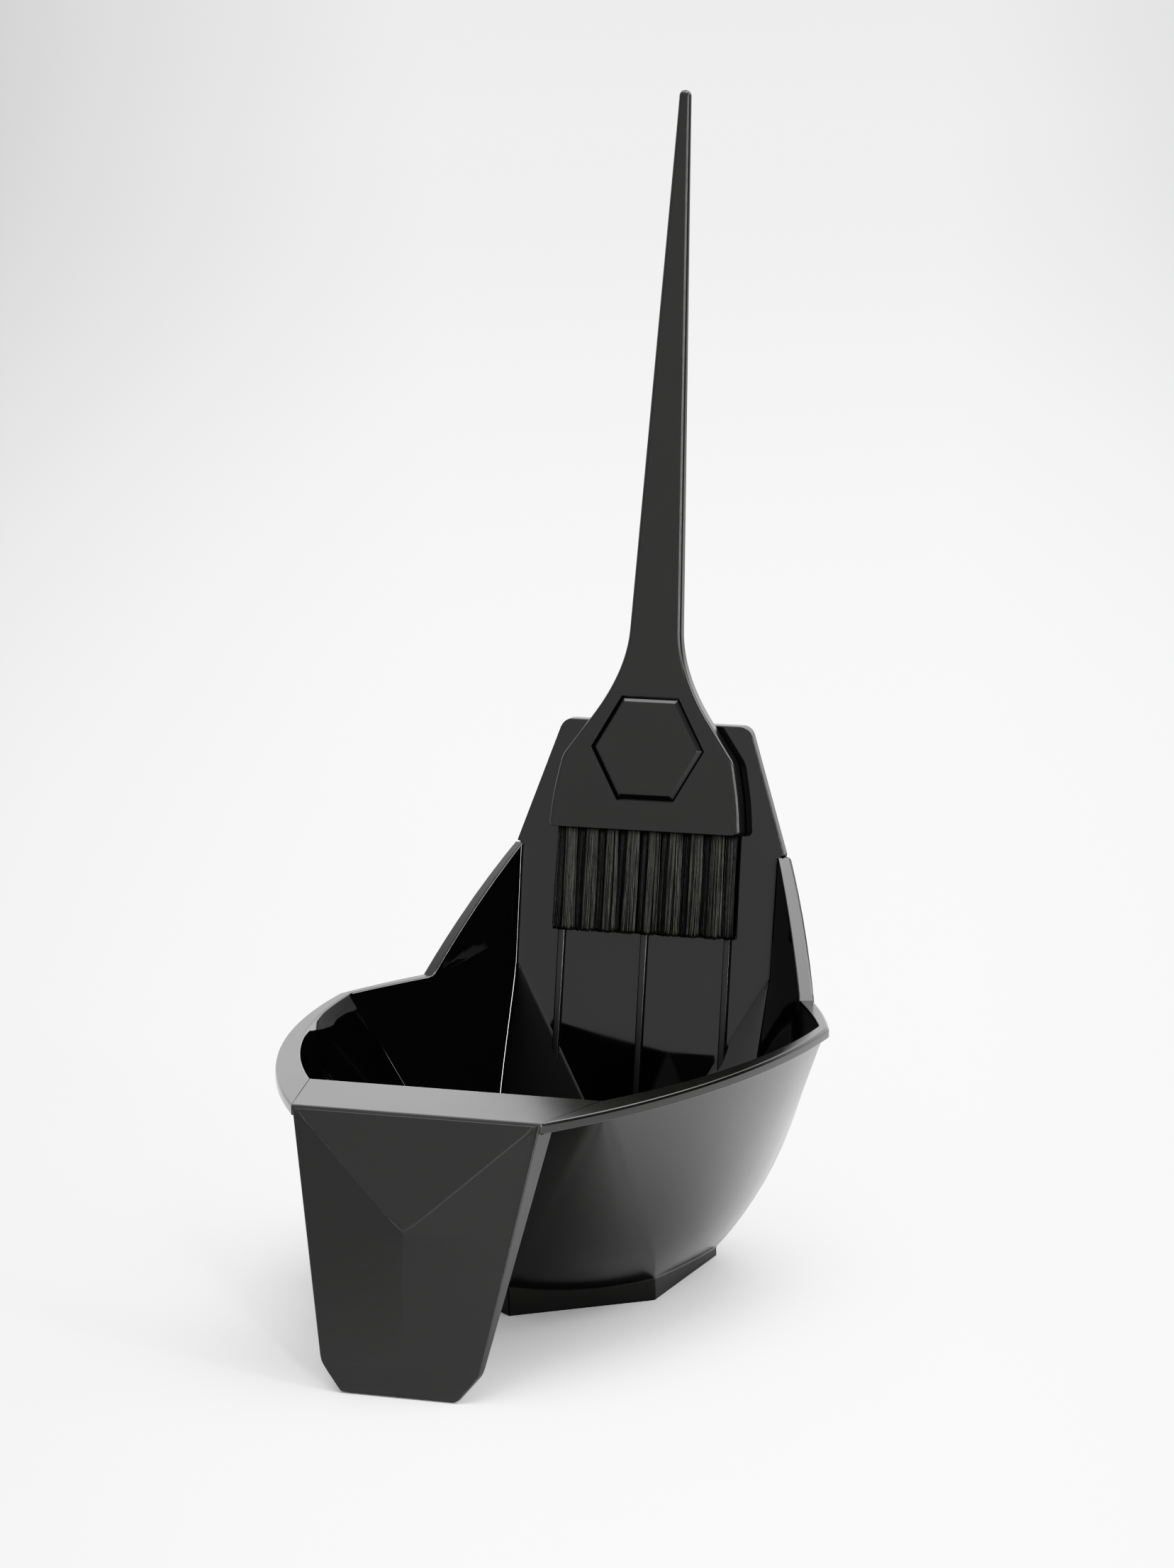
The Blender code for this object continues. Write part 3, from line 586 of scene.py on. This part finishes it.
def panel_outline():
    """Half widths and heights above the rim of the panel's right edge, up to its middle."""
    base = np.array([PANEL_BASE_HALF, WING_RISE + 0.7 * MM])
    corner = np.array([PANEL_TOP_HALF, PANEL_TOP])
    side = (corner - base) / np.hypot(*(corner - base))
    turn = np.arccos(-side[0])
    cut = PANEL_CORNER * tan(turn / 2)
    centre = corner + np.array([-cut, -PANEL_CORNER])
    points = [base, base + side * 0.6 * MM, base + side * 8 * MM, base + side * 16 * MM,
              base + side * 24 * MM]
    for k in range(8):
        angle = pi / 2 - turn + turn * k / 7
        points.append(centre + PANEL_CORNER * np.array([cos(angle), sin(angle)]))
    points += [np.array([centre[0] * s, PANEL_TOP]) for s in (0.75, 0.5, 0.25)]
    return points


def wing_rise(share):
    """Height of the wing's top above the rim at a share of the rear facet."""
    climb = (share - WING_START) / (1 - WING_START)
    if climb <= 0:
        return 0.0
    return WING_RISE * climb + 4 * WING_CROWN * climb * (1 - climb)


def top_heights():
    """Height above the rim at each station, and the panel's outline X where it has one."""
    rises = []
    outline_x = []
    outline = panel_outline()
    edge = outline + [np.array([0.0, PANEL_TOP])] + [p * (-1, 1) for p in reversed(outline)]
    for kind, k, t in STATIONS:
        x = None
        rise = 0.0
        if kind == "facet" and k == 2:
            rise = wing_rise(t)
        elif kind == "facet" and k == 6:
            rise = wing_rise(1 - t)
        elif kind == "facet" and k == 4:
            x, rise = edge[round(t * (len(edge) + 1)) - 1]
        elif k in (3, 4, 5, 6) and kind == "crease" or kind == "facet" and k in (3, 5):
            rise = WING_RISE
        rises.append(rise)
        outline_x.append(x)
    return np.array(rises), outline_x


def raised(plan, rises, outline_x=None):
    """Lifts a ring of the rim plane along the fold's direction, or onto the panel's outline."""
    points = flat_ring(plan, RIM_Z)
    points[:, 0] += np.sign(points[:, 0]) * WING_SPREAD * rises
    points[:, 1] += PANEL_SLOPE * (rises - crowns(rises))
    points[:, 2] += rises
    if outline_x:
        for i, x in enumerate(outline_x):
            if x is not None:
                points[i, 0] = x
    return points


def crowns(rises):
    """The part of each height that is the wing's crown, which doesn't lean back."""
    extra = np.zeros(len(rises))
    for i, (kind, k, t) in enumerate(STATIONS):
        if kind == "facet" and k in (2, 6):
            climb = max(0.0, ((t if k == 2 else 1 - t) - WING_START) / (1 - WING_START))
            extra[i] = min(4 * WING_CROWN * climb * (1 - climb), rises[i])
    return extra


def unit(vectors):
    """The vectors, scaled to length 1."""
    return vectors / np.maximum(np.linalg.norm(vectors, axis=1), 1e-12)[:, None]


def tangents(ring):
    """Direction along the ring at each point, also where points coincide."""
    ahead = np.roll(ring, -1, axis=0) - ring
    behind = ring - np.roll(ring, 1, axis=0)
    for _ in range(12):
        short = np.linalg.norm(ahead, axis=1) < 1e-6
        ahead[short] = np.roll(ahead, -1, axis=0)[short]
        short = np.linalg.norm(behind, axis=1) < 1e-6
        behind[short] = np.roll(behind, 1, axis=0)[short]
    return unit(unit(ahead) + unit(behind))


def rounded_edge(before, ring, after, radius, steps=3):
    """The rings that replace a sharp ring by a rounded one between its two neighbours."""
    along = tangents(ring)
    sides = []
    for other in (before, after):
        away = other - ring
        away = away - along * (away * along).sum(axis=1)[:, None]
        length = np.linalg.norm(away, axis=1)
        sides.append(ring + unit(away) * np.minimum(radius, 0.45 * length)[:, None])
    shares = [i / steps for i in range(steps + 1)]
    return [sides[0] * (1 - t) ** 2 + ring * 2 * t * (1 - t) + sides[1] * t ** 2 for t in shares]


def shell_rings():
    """All rings from the underside over the rim to the inside floor.

    Returns them, the index of the first inner ring and the index of the first above the foot.
    """
    rises, outline_x = top_heights()
    plain = rises == 0
    foot_z = station_values(both_sides(FOOT_JOINT), facet_values(*FOOT_DIP))
    zero = np.zeros(10)
    foot_soft = np.full(10, FOOT_SOFT)
    foot = around(FOOT_CORNERS, zero, foot_soft)
    foot_in = offset_corners(FOOT_CORNERS, -FOOT_WIDTH)
    recess = offset_corners(FOOT_CORNERS, -FOOT_WIDTH - 0.4 * MM)
    wall_top = offset_corners(MOUTH_CORNERS, WALL)
    outside_soft = both_sides(OUTSIDE_SOFT)
    inside_soft = both_sides(INSIDE_SOFT)

    recess_ring = flat_ring(around(recess, zero, foot_soft), RECESS_Z)
    recess_in = flat_ring(around(offset_corners(recess, -4 * MM), zero, foot_soft), RECESS_Z)
    foot_in_ring = flat_ring(around(foot_in, zero, foot_soft), 0.0)
    foot_ring = flat_ring(foot, 0.0)
    joint_ring = flat_ring(foot, foot_z)
    body = [wall_ring(wall_top, FOOT_CORNERS, foot_z, d,
                      np.minimum(outside_soft, 0.4 * MM + 6 * MM * (1 - d)))
            for d in OUTER_DEPTHS]
    neck = wall_ring(wall_top, FOOT_CORNERS, foot_z, 1.05 * RIM_THICK / RIM_Z, 0.5 * outside_soft)
    neck[:, 2] = RIM_Z - RIM_THICK

    lip = around(LIP_CORNERS, facet_values(*LIP_BOWS), both_sides(LIP_SOFT))
    mouth_soft = both_sides(MOUTH_SOFT)
    mouth = around(MOUTH_CORNERS, facet_values(*MOUTH_BOWS), mouth_soft)
    lip_low = flat_ring(lip, RIM_Z - RIM_THICK)
    top_in = raised(mouth, rises, outline_x)
    top_out = raised(lip, rises, outline_x)
    inward = unit(top_in - top_out)
    chamfer_low = top_out - np.array([0, 0, CHAMFER])
    for i, x in enumerate(outline_x):
        if x is not None:
            chamfer_low[i] = top_out[i]
    chamfer_high = top_out + inward * np.where(np.array([x is None for x in outline_x]),
                                               CHAMFER, 0.05 * MM)[:, None]
    under_top = np.where(plain, 0.0, np.minimum(rises, WING_RISE) - 1.4 * MM)
    low_out = raised(lip, np.maximum(under_top, 0.0))
    low_out[:, 2] -= np.where(plain | (under_top <= 0), 1.5 * MM, 0.0)
    low_in = raised(mouth, np.maximum(under_top, 0.0))
    low_in[:, 2] -= np.where(plain | (under_top <= 0), 1.2 * MM, 0.0)
    middle_in = [raised(mouth, np.maximum(under_top, 0.0) * s) for s in (0.75, 0.5, 0.25)]
    for step, ring in zip((0.2, 0.4, 0.6), middle_in):
        ring[:, 2] -= np.where(plain | (under_top <= 0), (1.2 + step) * MM, 0.0)
    rim_in = flat_ring(mouth, RIM_Z)

    low_z = foot_z + WALL + 0.4 * MM
    inner_foot = foot_in.copy()
    inner_foot[[4, 5], 1] = MOUTH[2][1] - PANEL_SLOPE * (RIM_Z - (FOOT_JOINT[4] + WALL + 0.4 * MM))
    for step, ring in enumerate((low_in, *middle_in, rim_in)):
        under = wall_ring(MOUTH_CORNERS, inner_foot, low_z, 0.012 + 0.006 * step, mouth_soft, 0.0)
        ring[plain] = under[plain]
    inner = [wall_ring(MOUTH_CORNERS, inner_foot, low_z, d, inside_soft, 0.0)
             for d in INNER_DEPTHS]
    inner_low = wall_ring(MOUTH_CORNERS, inner_foot, low_z, 1.0, 0.5 * inside_soft, 0.0)
    floor = flat_ring(around(offset_corners(FOOT_CORNERS, -9.0 * MM), zero, foot_soft), FLOOR_Z)

    rings = [recess_in]
    rings += rounded_edge(recess_in, recess_ring, foot_in_ring, 0.3 * MM)
    rings += rounded_edge(recess_ring, foot_in_ring, foot_ring, 0.25 * MM)
    rings += rounded_edge(foot_in_ring, foot_ring, joint_ring, 0.35 * MM)
    foot_rows = len(rings)
    rings += rounded_edge(foot_ring, joint_ring, body[0], 0.4 * MM)
    rings += body
    rings += rounded_edge(body[-1], neck, lip_low, 0.6 * MM)
    rings += rounded_edge(neck, lip_low, low_out, 0.25 * MM)
    rings += [low_out]
    rings += rounded_edge(low_out, chamfer_low, chamfer_high, 0.2 * MM, 2)
    rings += rounded_edge(chamfer_low, chamfer_high, top_in, 0.2 * MM, 2)
    first_inner = len(rings)
    rings += rounded_edge(chamfer_high, top_in, low_in, 0.4 * MM)
    rings += [low_in, *middle_in, rim_in]
    rings += inner
    rings += rounded_edge(inner[-1], inner_low, floor, 2.5 * MM, 5)
    rings += [floor]
    for ring in rings:
        ring[:, 1] += WIDE_Y
    return rings, first_inner, foot_rows


def tab_height(x, z):
    """How far the tab's front stands out from its sloping base plane: a Y-shaped ridge."""
    spread_x = (TAB_HALF - TAB_CORNER_HALF) / (RIM_Z - TAB_CORNER_Z)
    half = TAB_HALF - spread_x * (RIM_Z - z)
    node_half = TAB_HALF - spread_x * (RIM_Z - TAB_NODE_Z)
    fade = min(1.0, max(0.0, (z - TAB_RIDGE_END_Z) / (TAB_NODE_Z - 3 * MM - TAB_RIDGE_END_Z)))
    side = TAB_RIDGE / (node_half - TAB_NODE_HALF) * fade * (half - abs(x))
    below = max(0.0, TAB_NODE_Z - z)
    upper = TAB_RIDGE * (RIM_Z - z - below) / (RIM_Z - TAB_NODE_Z) + 0.15 * below
    share = min(1.0, max(0.0, (side - upper) / TAB_STEP_RUN))
    return max(min(upper, side) + TAB_STEP * share * share * (3 - 2 * share), 0.0)


def tab_half(z):
    """Half width of the tab at a height; its lower corners are cut off."""
    spread_x = (TAB_HALF - TAB_CORNER_HALF) / (RIM_Z - TAB_CORNER_Z)
    if z >= TAB_CORNER_Z:
        return TAB_HALF - spread_x * (RIM_Z - z)
    share = (z - TAB_TIP_Z) / (TAB_CORNER_Z - TAB_TIP_Z)
    return TAB_TIP_HALF + (TAB_CORNER_HALF - TAB_TIP_HALF) * share


def tab_ring(z, inset=0.0):
    """One level of the tab: front with soft creases, rounded edges, side returns, hollow back."""
    half = tab_half(z) - inset
    share = (RIM_Z - z) / (RIM_Z - TAB_TIP_Z)
    depth = TAB_RETURN_TOP + (TAB_RETURN_TIP - TAB_RETURN_TOP) * min(1.0, share * 1.05)
    depth = max(depth, TAB_RETURN_TIP) - inset
    thick = min(TAB_THICK, depth - 0.15 * MM)
    base = LIP[0][1] - TAB_SLOPE * (RIM_Z - z) + inset
    crease = TAB_NODE_HALF + (TAB_HALF - TAB_NODE_HALF) * (z - TAB_NODE_Z) / (RIM_Z - TAB_NODE_Z)
    if z < TAB_NODE_Z:
        crease = max(0.12 * MM, TAB_NODE_HALF * (1 - (TAB_NODE_Z - z) / (4 * MM)))
    crease = min(crease, half - TAB_EDGE - 1.6 * MM)
    narrow = min(1.0, crease / (3 * MM))
    near = [(crease - 0.95 * narrow * MM) * s for s in (0.0, 0.25, 0.5, 0.75)]
    near += [crease - s * narrow * MM for s in (0.95, 0.8, 0.65, 0.5, 0.35, 0.2, 0.1)]
    near += [crease + s * MM for s in (0.0, 0.1, 0.25, 0.5, 1.0)]
    flat_end = half - TAB_EDGE
    near += [crease + 1.0 * MM + (flat_end - crease - 1.0 * MM) * s for s in (0.2, 0.4, 0.6, 0.8)]
    columns = sorted(near)
    right = [(x, base - tab_height(x, z)) for x in columns]
    for k in range(5):
        angle = pi / 2 * k / 4
        right.append((flat_end + TAB_EDGE * sin(angle), base + TAB_EDGE - TAB_EDGE * cos(angle)))
    back_edge = min(0.4 * MM, 0.2 * TAB_THICK)
    wide = half + TAB_RETURN_FLARE * (depth - TAB_EDGE)
    right += [(wide, base + depth - back_edge), (wide - back_edge, base + depth),
              (wide - TAB_THICK + back_edge, base + depth),
              (wide - TAB_THICK, base + depth - back_edge),
              (half - TAB_THICK, base + thick + 0.6 * MM),
              (half - TAB_THICK - 0.6 * MM, base + thick)]
    inner_half = half - TAB_THICK - 0.6 * MM
    right += [(inner_half * s, base + thick - tab_height(inner_half * s, z) * (1 - s))
              for s in (0.75, 0.5, 0.25)]
    left = [(-x, y) for x, y in reversed(right)][:-1]
    middle_back = (0.0, base + thick - tab_height(0.0, z))
    return [Vector((x, y + WIDE_Y, z)) for x, y in right + [middle_back] + left]


def make_tab():
    """Grip tab: a shallow channel with a Y-shaped crease, hung from the rim's front edge."""
    top = RIM_Z - CHAMFER
    levels = [(TAB_TIP_Z, 0.45 * MM), (TAB_TIP_Z + 0.13 * MM, 0.17 * MM),
              (TAB_TIP_Z + 0.45 * MM, 0.0)]
    z = TAB_TIP_Z + 1.5 * MM
    while z < TAB_CORNER_Z - 1.0 * MM:
        levels.append((z, 0.0))
        z += 1.5 * MM
    levels.append((TAB_CORNER_Z - 0.4 * MM, 0.08 * MM))
    levels.append((TAB_CORNER_Z + 0.4 * MM, 0.08 * MM))
    z = TAB_CORNER_Z + 1.6 * MM
    while z < top - 1.0 * MM:
        levels.append((z, 0.0))
        z += (0.5 if abs(z - TAB_NODE_Z) < 4 * MM else 1.5) * MM
    levels.append((top, 0.0))
    return skin(bmesh.new(), [tab_ring(z, inset) for z, inset in levels])


def make_shell(outside, inside, edge, foot):
    """Bowl, rim, wings and panel in one skin, with the tab and magnet boss joined on, and ribs."""
    rings, first_inner, foot_rows = shell_rings()
    bm = skin(bmesh.new(), rings)
    count = len(STATIONS)
    bm.faces.ensure_lookup_table()
    for index, face in enumerate(bm.faces):
        row = index // count
        if first_inner + 2 <= row < len(rings) - 1 or index == len(bm.faces) - 1:
            face.material_index = 1
        elif first_inner - 8 <= row < first_inner + 2:
            face.material_index = 2
        elif row < foot_rows:
            face.material_index = 3
    shell = finish_mesh("bowl_moulding", bm, (outside, inside, edge, foot))
    combine(shell, finish_mesh("tab", make_tab(), (outside,)), "UNION")
    for x, low_u in ((-RIB_X, RIB_SIDE_LOW_U), (0.0, RIB_MIDDLE_LOW_U), (RIB_X, RIB_SIDE_LOW_U)):
        across = (x - RIB_WIDTH / 2, x + RIB_WIDTH / 2)
        rib = box(across, (-1.0 * MM, RIB_PROUD), (low_u, RIB_TOP_U))
        piece = finish_mesh("rib", soften(rib, 0.4 * MM, 4), (outside,), PANEL_FRAME)
        even_normals(piece)
        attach(piece, "bowl")
        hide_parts("bowl_shell")
    boss_back = PANEL_BACK - BOSS_PROUD
    boss = soften(prism(disc(BOSS_R, BOSS_U), boss_back, PANEL_BACK + ROOT), 0.4 * MM)
    combine(shell, finish_mesh("boss", boss, (outside,), PANEL_FRAME), "UNION")
    pocket = prism(disc(MAGNET_R + GAP, BOSS_U), boss_back - CUT_PAST, boss_back + POCKET_DEPTH)
    combine(shell, finish_mesh("pocket", pocket, (outside,), PANEL_FRAME), "DIFFERENCE")
    even_normals(shell)
    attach(shell, "bowl")
    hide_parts("bowl_shell")


# ---------------------------------------------------------------- brush
def rounded_ring(width, depth, centre_x, centre_w, u, corner, steps):
    """Rounded rectangle across the slope, at height U, with points that keep its sides flat."""
    ring = []
    keep = 0.12 * MM
    for quarter, (sx, sy) in enumerate(((1, 1), (-1, 1), (-1, -1), (1, -1))):
        cx = sx * (width / 2 - corner)
        cy = sy * (depth / 2 - corner)
        for k in range(-1, steps + 2):
            angle = (quarter + min(max(k / steps, 0.0), 1.0)) * pi / 2
            x = cx + corner * cos(angle)
            y = cy + corner * sin(angle)
            if k < 0:
                x += keep * sin(angle) * min(1.0, 0.4 * width / MM)
                y -= keep * cos(angle) * min(1.0, 0.4 * depth / MM)
            elif k > steps:
                x -= keep * sin(angle) * min(1.0, 0.4 * width / MM)
                y += keep * cos(angle) * min(1.0, 0.4 * depth / MM)
            ring.append((centre_x + x, -(centre_w + y), u))
    return ring


def smooth_turn(a, b, c, radius, steps):
    """Points that round the corner at b of an outline, over a length radius on either side."""
    start = b + (a - b).normalized() * radius
    end = b + (c - b).normalized() * radius
    return [start * (1 - t) ** 2 + b * 2 * t * (1 - t) + end * t ** 2
            for t in (k / steps for k in range(steps + 1))]


def brush_outline():
    """Half widths up the brush, as (half width, U)."""
    low = Vector((HEAD_HALF, HEAD_END_U))
    waist = Vector((HEAD_HALF - 0.5 * MM, HEAD_END_U + 8.0 * MM))
    shoulder = Vector((SHOULDER_HALF, SHOULDER_U))
    neck = Vector((NECK_HALF, NECK_U))
    handle = Vector((HANDLE_HALF, HANDLE_U))
    bend = Vector((HANDLE_HALF + 0.5 * MM, NECK_U + 12.0 * MM))
    tip = Vector((TIP_HALF, TIP_U - TIP_HALF))
    points = [low + HEAD_CORNER * Vector((sin(k * pi / 12) - 1, 1 - cos(k * pi / 12)))
              for k in range(7)]
    points += smooth_turn(low, waist, shoulder, 5.0 * MM, 6)
    points += smooth_turn(waist, shoulder, neck, 1.6 * MM, 6)
    points += [neck * (1 - t) ** 2 + bend * 2 * t * (1 - t) + handle * t ** 2
               for t in (k / 24 for k in range(25))]
    points += [handle + (tip - handle) * (k / 24) for k in range(1, 25)]
    points += [Vector((TIP_HALF * cos(k * pi / 14), TIP_U - TIP_HALF * (1 - sin(k * pi / 14))))
               for k in range(1, 7)]
    return points


def brush_thickness(half, u):
    """Full thickness of the brush where it has this half width, at height U."""
    if u <= NECK_U:
        return HEAD_THICK
    if u <= HANDLE_U:
        t = (u - NECK_U) / (HANDLE_U - NECK_U)
        return HEAD_THICK + (HANDLE_THICK - HEAD_THICK) * t * t * (3 - 2 * t)
    thick = HANDLE_THICK + (TIP_THICK - HANDLE_THICK) * (u - HANDLE_U) / (TIP_U - HANDLE_U)
    return min(thick, 1.6 * half)


def tuft_places():
    """Name, X and distance from the panel of each tuft: a front row and a staggered rear row."""
    places = []
    for row, count, w in (("front", FRONT_TUFTS, HEAD_MID + ROW_OFFSET),
                          ("rear", REAR_TUFTS, HEAD_MID - ROW_OFFSET)):
        for i in range(count):
            places.append((row, i + 1, (i - (count - 1) / 2) * TUFT_PITCH, w))
    return places


def make_brush(mat):
    """Head, neck and tapered handle, with the cap's pocket, the magnet's pocket and the sockets."""
    rings = []
    for inset, rise in ((0.6 * MM, 0.0), (0.25 * MM, 0.024 * MM), (0.05 * MM, 0.07 * MM)):
        half = brush_outline()[0].x - inset
        rings.append(rounded_ring(2 * half, HEAD_THICK - 2 * inset, 0.0, HEAD_MID,
                                  HEAD_END_U + rise, BRUSH_EDGE - 0.5 * inset, 6))
    for half, u in brush_outline():
        thick = brush_thickness(half, u)
        edge = min(BRUSH_EDGE, 0.42 * thick, 0.6 * half)
        level = max(u, HEAD_END_U + 0.1 * MM)
        rings.append(rounded_ring(2 * half, thick, 0.0, HEAD_MID, level, edge, 6))
    brush = finish_mesh("brush_moulding", skin(bmesh.new(), rings), (mat,), PANEL_FRAME)
    cap_back = HEAD_FRONT - CAP_DEPTH
    pocket = prism(hexagon(HEX_R, HEX_U), cap_back, HEAD_FRONT + CUT_PAST)
    combine(brush, finish_mesh("cap_pocket", pocket, (mat,), PANEL_FRAME), "DIFFERENCE")
    hole = prism(disc(MAGNET_R + GAP, HEX_U), cap_back - BRUSH_POCKET_DEPTH, cap_back + ROOT)
    combine(brush, finish_mesh("magnet_pocket", hole, (mat,), PANEL_FRAME), "DIFFERENCE")
    sockets = bmesh.new()
    for _, _, x, w in tuft_places():
        skin(sockets, [rounded_ring(*SOCKET, x, w, u, 0.6 * MM, 4)
                       for u in (HEAD_END_U - CUT_PAST, SOCKET_TOP_U)])
    combine(brush, finish_mesh("sockets", sockets, (mat,), PANEL_FRAME), "DIFFERENCE")
    even_normals(brush)
    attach(brush, "brush")
    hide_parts("brush_handle")


def make_cap(mat):
    """Hexagonal cap: a bevelled plate with softened edges."""
    outer = HEX_R - 1.3 * GAP
    levels = ((HEAD_FRONT - CAP_DEPTH + GAP, outer),
              (HEAD_FRONT + CAP_PROUD - CAP_BEVEL_DEPTH, outer),
              (HEAD_FRONT + CAP_PROUD, outer - CAP_BEVEL))
    rings = [[(x, -w, u) for x, u in hexagon(radius, HEX_U)] for w, radius in levels]
    plate = soften(skin(bmesh.new(), rings), 0.2 * MM, 3, radians(20))
    cap = finish_mesh("cap_plate", plate, (mat,), PANEL_FRAME)
    even_normals(cap)
    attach(cap, "brush")
    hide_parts("hex_cap")


def strand(bm, path, radius):
    """A tapering four-sided fibre along a path that runs down the slope."""
    rings = []
    for i, point in enumerate(path):
        r = radius * (1.0 if i < len(path) - 1 else 0.45)
        rings.append([(point.x + r * cos(a), point.y + r * sin(a), point.z)
                      for a in (0, pi / 2, pi, 3 * pi / 2)])
    skin(bm, rings)


def make_tuft(row, number, x, w, mat):
    """A tuft of single fibres: packed at the socket, spread and ragged at the ends."""
    draw = random.Random("%s %d" % (row, number))
    bm = bmesh.new()
    lean = draw.uniform(-0.35, 0.35) * MM
    clump = [draw.uniform(-0.9, 0.9) for _ in range(5)]
    tip = TUFT_TIP[row]
    for _ in range(STRANDS):
        radius = draw.random() ** 0.5
        angle = draw.uniform(0, 2 * pi)
        across = radius * cos(angle)
        deep = radius * sin(angle)
        nearest = min(clump, key=lambda c: abs(c - across))
        gathered = across + (nearest - across) * draw.uniform(0.1, 0.6)
        end_u = TUFT_END_U + draw.expovariate(1.0) * 0.3 * MM + 0.3 * MM * abs(across) + 0.1 * MM
        bow = draw.gauss(0, 0.10) * MM
        path = []
        for t in STRAND_STEPS:
            open_out = t ** 0.8
            px = x + (TUFT_ROOT[0] / 2 * across * (1 - open_out) + tip[0] / 2 * gathered * open_out)
            pw = w + deep * (TUFT_ROOT[1] / 2 * (1 - open_out) + tip[1] / 2 * open_out)
            px += lean * t * t + bow * sin(pi * t)
            path.append(Vector((px, -pw, TUFT_TOP_U + (end_u - TUFT_TOP_U) * t)))
        strand(bm, path, STRAND_R * draw.uniform(0.85, 1.2))
    tuft = finish_mesh("bristles_%s_%d" % (row, number), bm, (mat,), PANEL_FRAME, radians(100))
    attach(tuft, "brush")
    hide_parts("bristle_tuft_%s_%d" % (row, number))


# ---------------------------------------------------------------- studio
def make_floor(mat):
    """A plain level floor that runs well past the object."""
    bm = bmesh.new()
    bmesh.ops.create_grid(bm, x_segments=8, y_segments=8, size=FLOOR_HALF)
    floor = finish_mesh("studio_floor", bm, (mat,))


def area_light(name, location, size, power):
    """A soft box that faces the object."""
    data = bpy.data.lights.new(name, "AREA")
    data.shape = "RECTANGLE"
    data.size, data.size_y = size
    data.energy = power
    light = bpy.data.objects.new(name, data)
    light.location = location
    aim = Vector(LIGHT_TARGET) - Vector(location)
    light.rotation_euler = aim.to_track_quat("-Z", "Y").to_euler()
    bpy.context.collection.objects.link(light)


def make_studio():
    """White surroundings at the back and left, a dark right, two boxes and two narrow strips."""
    world = bpy.data.worlds.new("studio")
    bpy.context.scene.world = world
    world.use_nodes = True
    tree = world.node_tree
    background = tree.nodes["Background"]
    place = tree.nodes.new("ShaderNodeTexCoord")
    dot = tree.nodes.new("ShaderNodeVectorMath")
    dot.operation = "DOT_PRODUCT"
    dot.inputs[1].default_value = SKY_AXIS
    tree.links.new(place.outputs["Generated"], dot.inputs[0])
    shift = tree.nodes.new("ShaderNodeMath")
    shift.inputs[1].default_value = 0.5
    tree.links.new(dot.outputs["Value"], shift.inputs[0])
    ramp = tree.nodes.new("ShaderNodeValToRGB")
    elements = ramp.color_ramp.elements
    while len(elements) < len(SKY_LEVELS):
        elements.new(0.5)
    for element, (position, level) in zip(elements, SKY_LEVELS):
        element.position = position
        element.color = (level, level, level, 1.0)
    tree.links.new(shift.outputs["Value"], ramp.inputs["Fac"])
    tree.links.new(ramp.outputs["Color"], background.inputs["Color"])
    parts = tree.nodes.new("ShaderNodeSeparateXYZ")
    tree.links.new(place.outputs["Generated"], parts.inputs["Vector"])
    tree.links.new(spread(tree, parts.outputs["Y"], *SKY_STRENGTH, -0.3, 0.6),
                   background.inputs["Strength"])
    for name, place, size, power in LIGHTS:
        area_light(name, place, size, power)


def print_contrast():
    """Display curve: deep blacks, steeper middle tones, and a soft shoulder below paper white."""
    view = bpy.context.scene.view_settings
    view.view_transform = "Standard"
    view.use_curve_mapping = True
    mapping = view.curve_mapping
    mapping.white_level = (CURVE_WHITE,) * 3
    curve = mapping.curves[3]
    curve.points[0].location = (0.0, 0.0)
    curve.points[1].location = (1.0, 0.965)
    for level, shown in CURVE:
        curve.points.new(level / CURVE_WHITE, shown)
    mapping.update()


def make_camera():
    """The camera fitted to the bowl's and panel's corners."""
    data = bpy.data.cameras.new("photo_camera")
    data.sensor_fit = "VERTICAL"
    data.sensor_height = SENSOR_HEIGHT
    data.lens = CAMERA_LENS
    data.clip_end = 50.0
    camera = bpy.data.objects.new("photo_camera", data)
    camera.location = CAMERA_PLACE
    camera.rotation_euler = CAMERA_TURN
    bpy.context.collection.objects.link(camera)
    bpy.context.scene.camera = camera


def main():
    make_camera()
    outside = satin_plastic("satin_shell", 0.25, 0.000006, ior=1.49)
    foot = satin_plastic("matt_foot", 0.36, 0.000008, specular=0.26)
    edge = satin_plastic("satin_rim", 0.22, 0.000006, ior=1.52)
    inside = polished_plastic()
    brush_black = satin_plastic("satin_brush", 0.315, 0.000006, ior=1.48)
    # the rear row's fibre is the same nylon painted far darker: painted shade for the row that lies
    # behind the front row
    fibres = {"front": bristle_fibre("bristle_fibre_front", (0.027, 0.028, 0.022)),
              "rear": bristle_fibre("bristle_fibre_rear_painted_shade", (0.005, 0.005, 0.004))}
    nickel = plated_metal("magnet_plating", (0.6, 0.6, 0.62), 0.3, (1.0, 0.1, 1.0))
    wire = plated_metal("staple_wire", (0.55, 0.5, 0.42), 0.35, (1.0, 1.0, 0.1))

    make_shell(outside, inside, edge, foot)
    make_brush(brush_black)
    make_cap(brush_black)
    for row, number, x, w in tuft_places():
        make_tuft(row, number, x, w, fibres[row])
    for name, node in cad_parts.items():
        if node.hide_render:
            continue
        finish = wire if "staple" in name else nickel if name.endswith("magnet") else outside
        for slot in node.material_slots:
            slot.material = finish

    make_floor(painted_pool_floor())
    make_studio()
    print_contrast()


main()
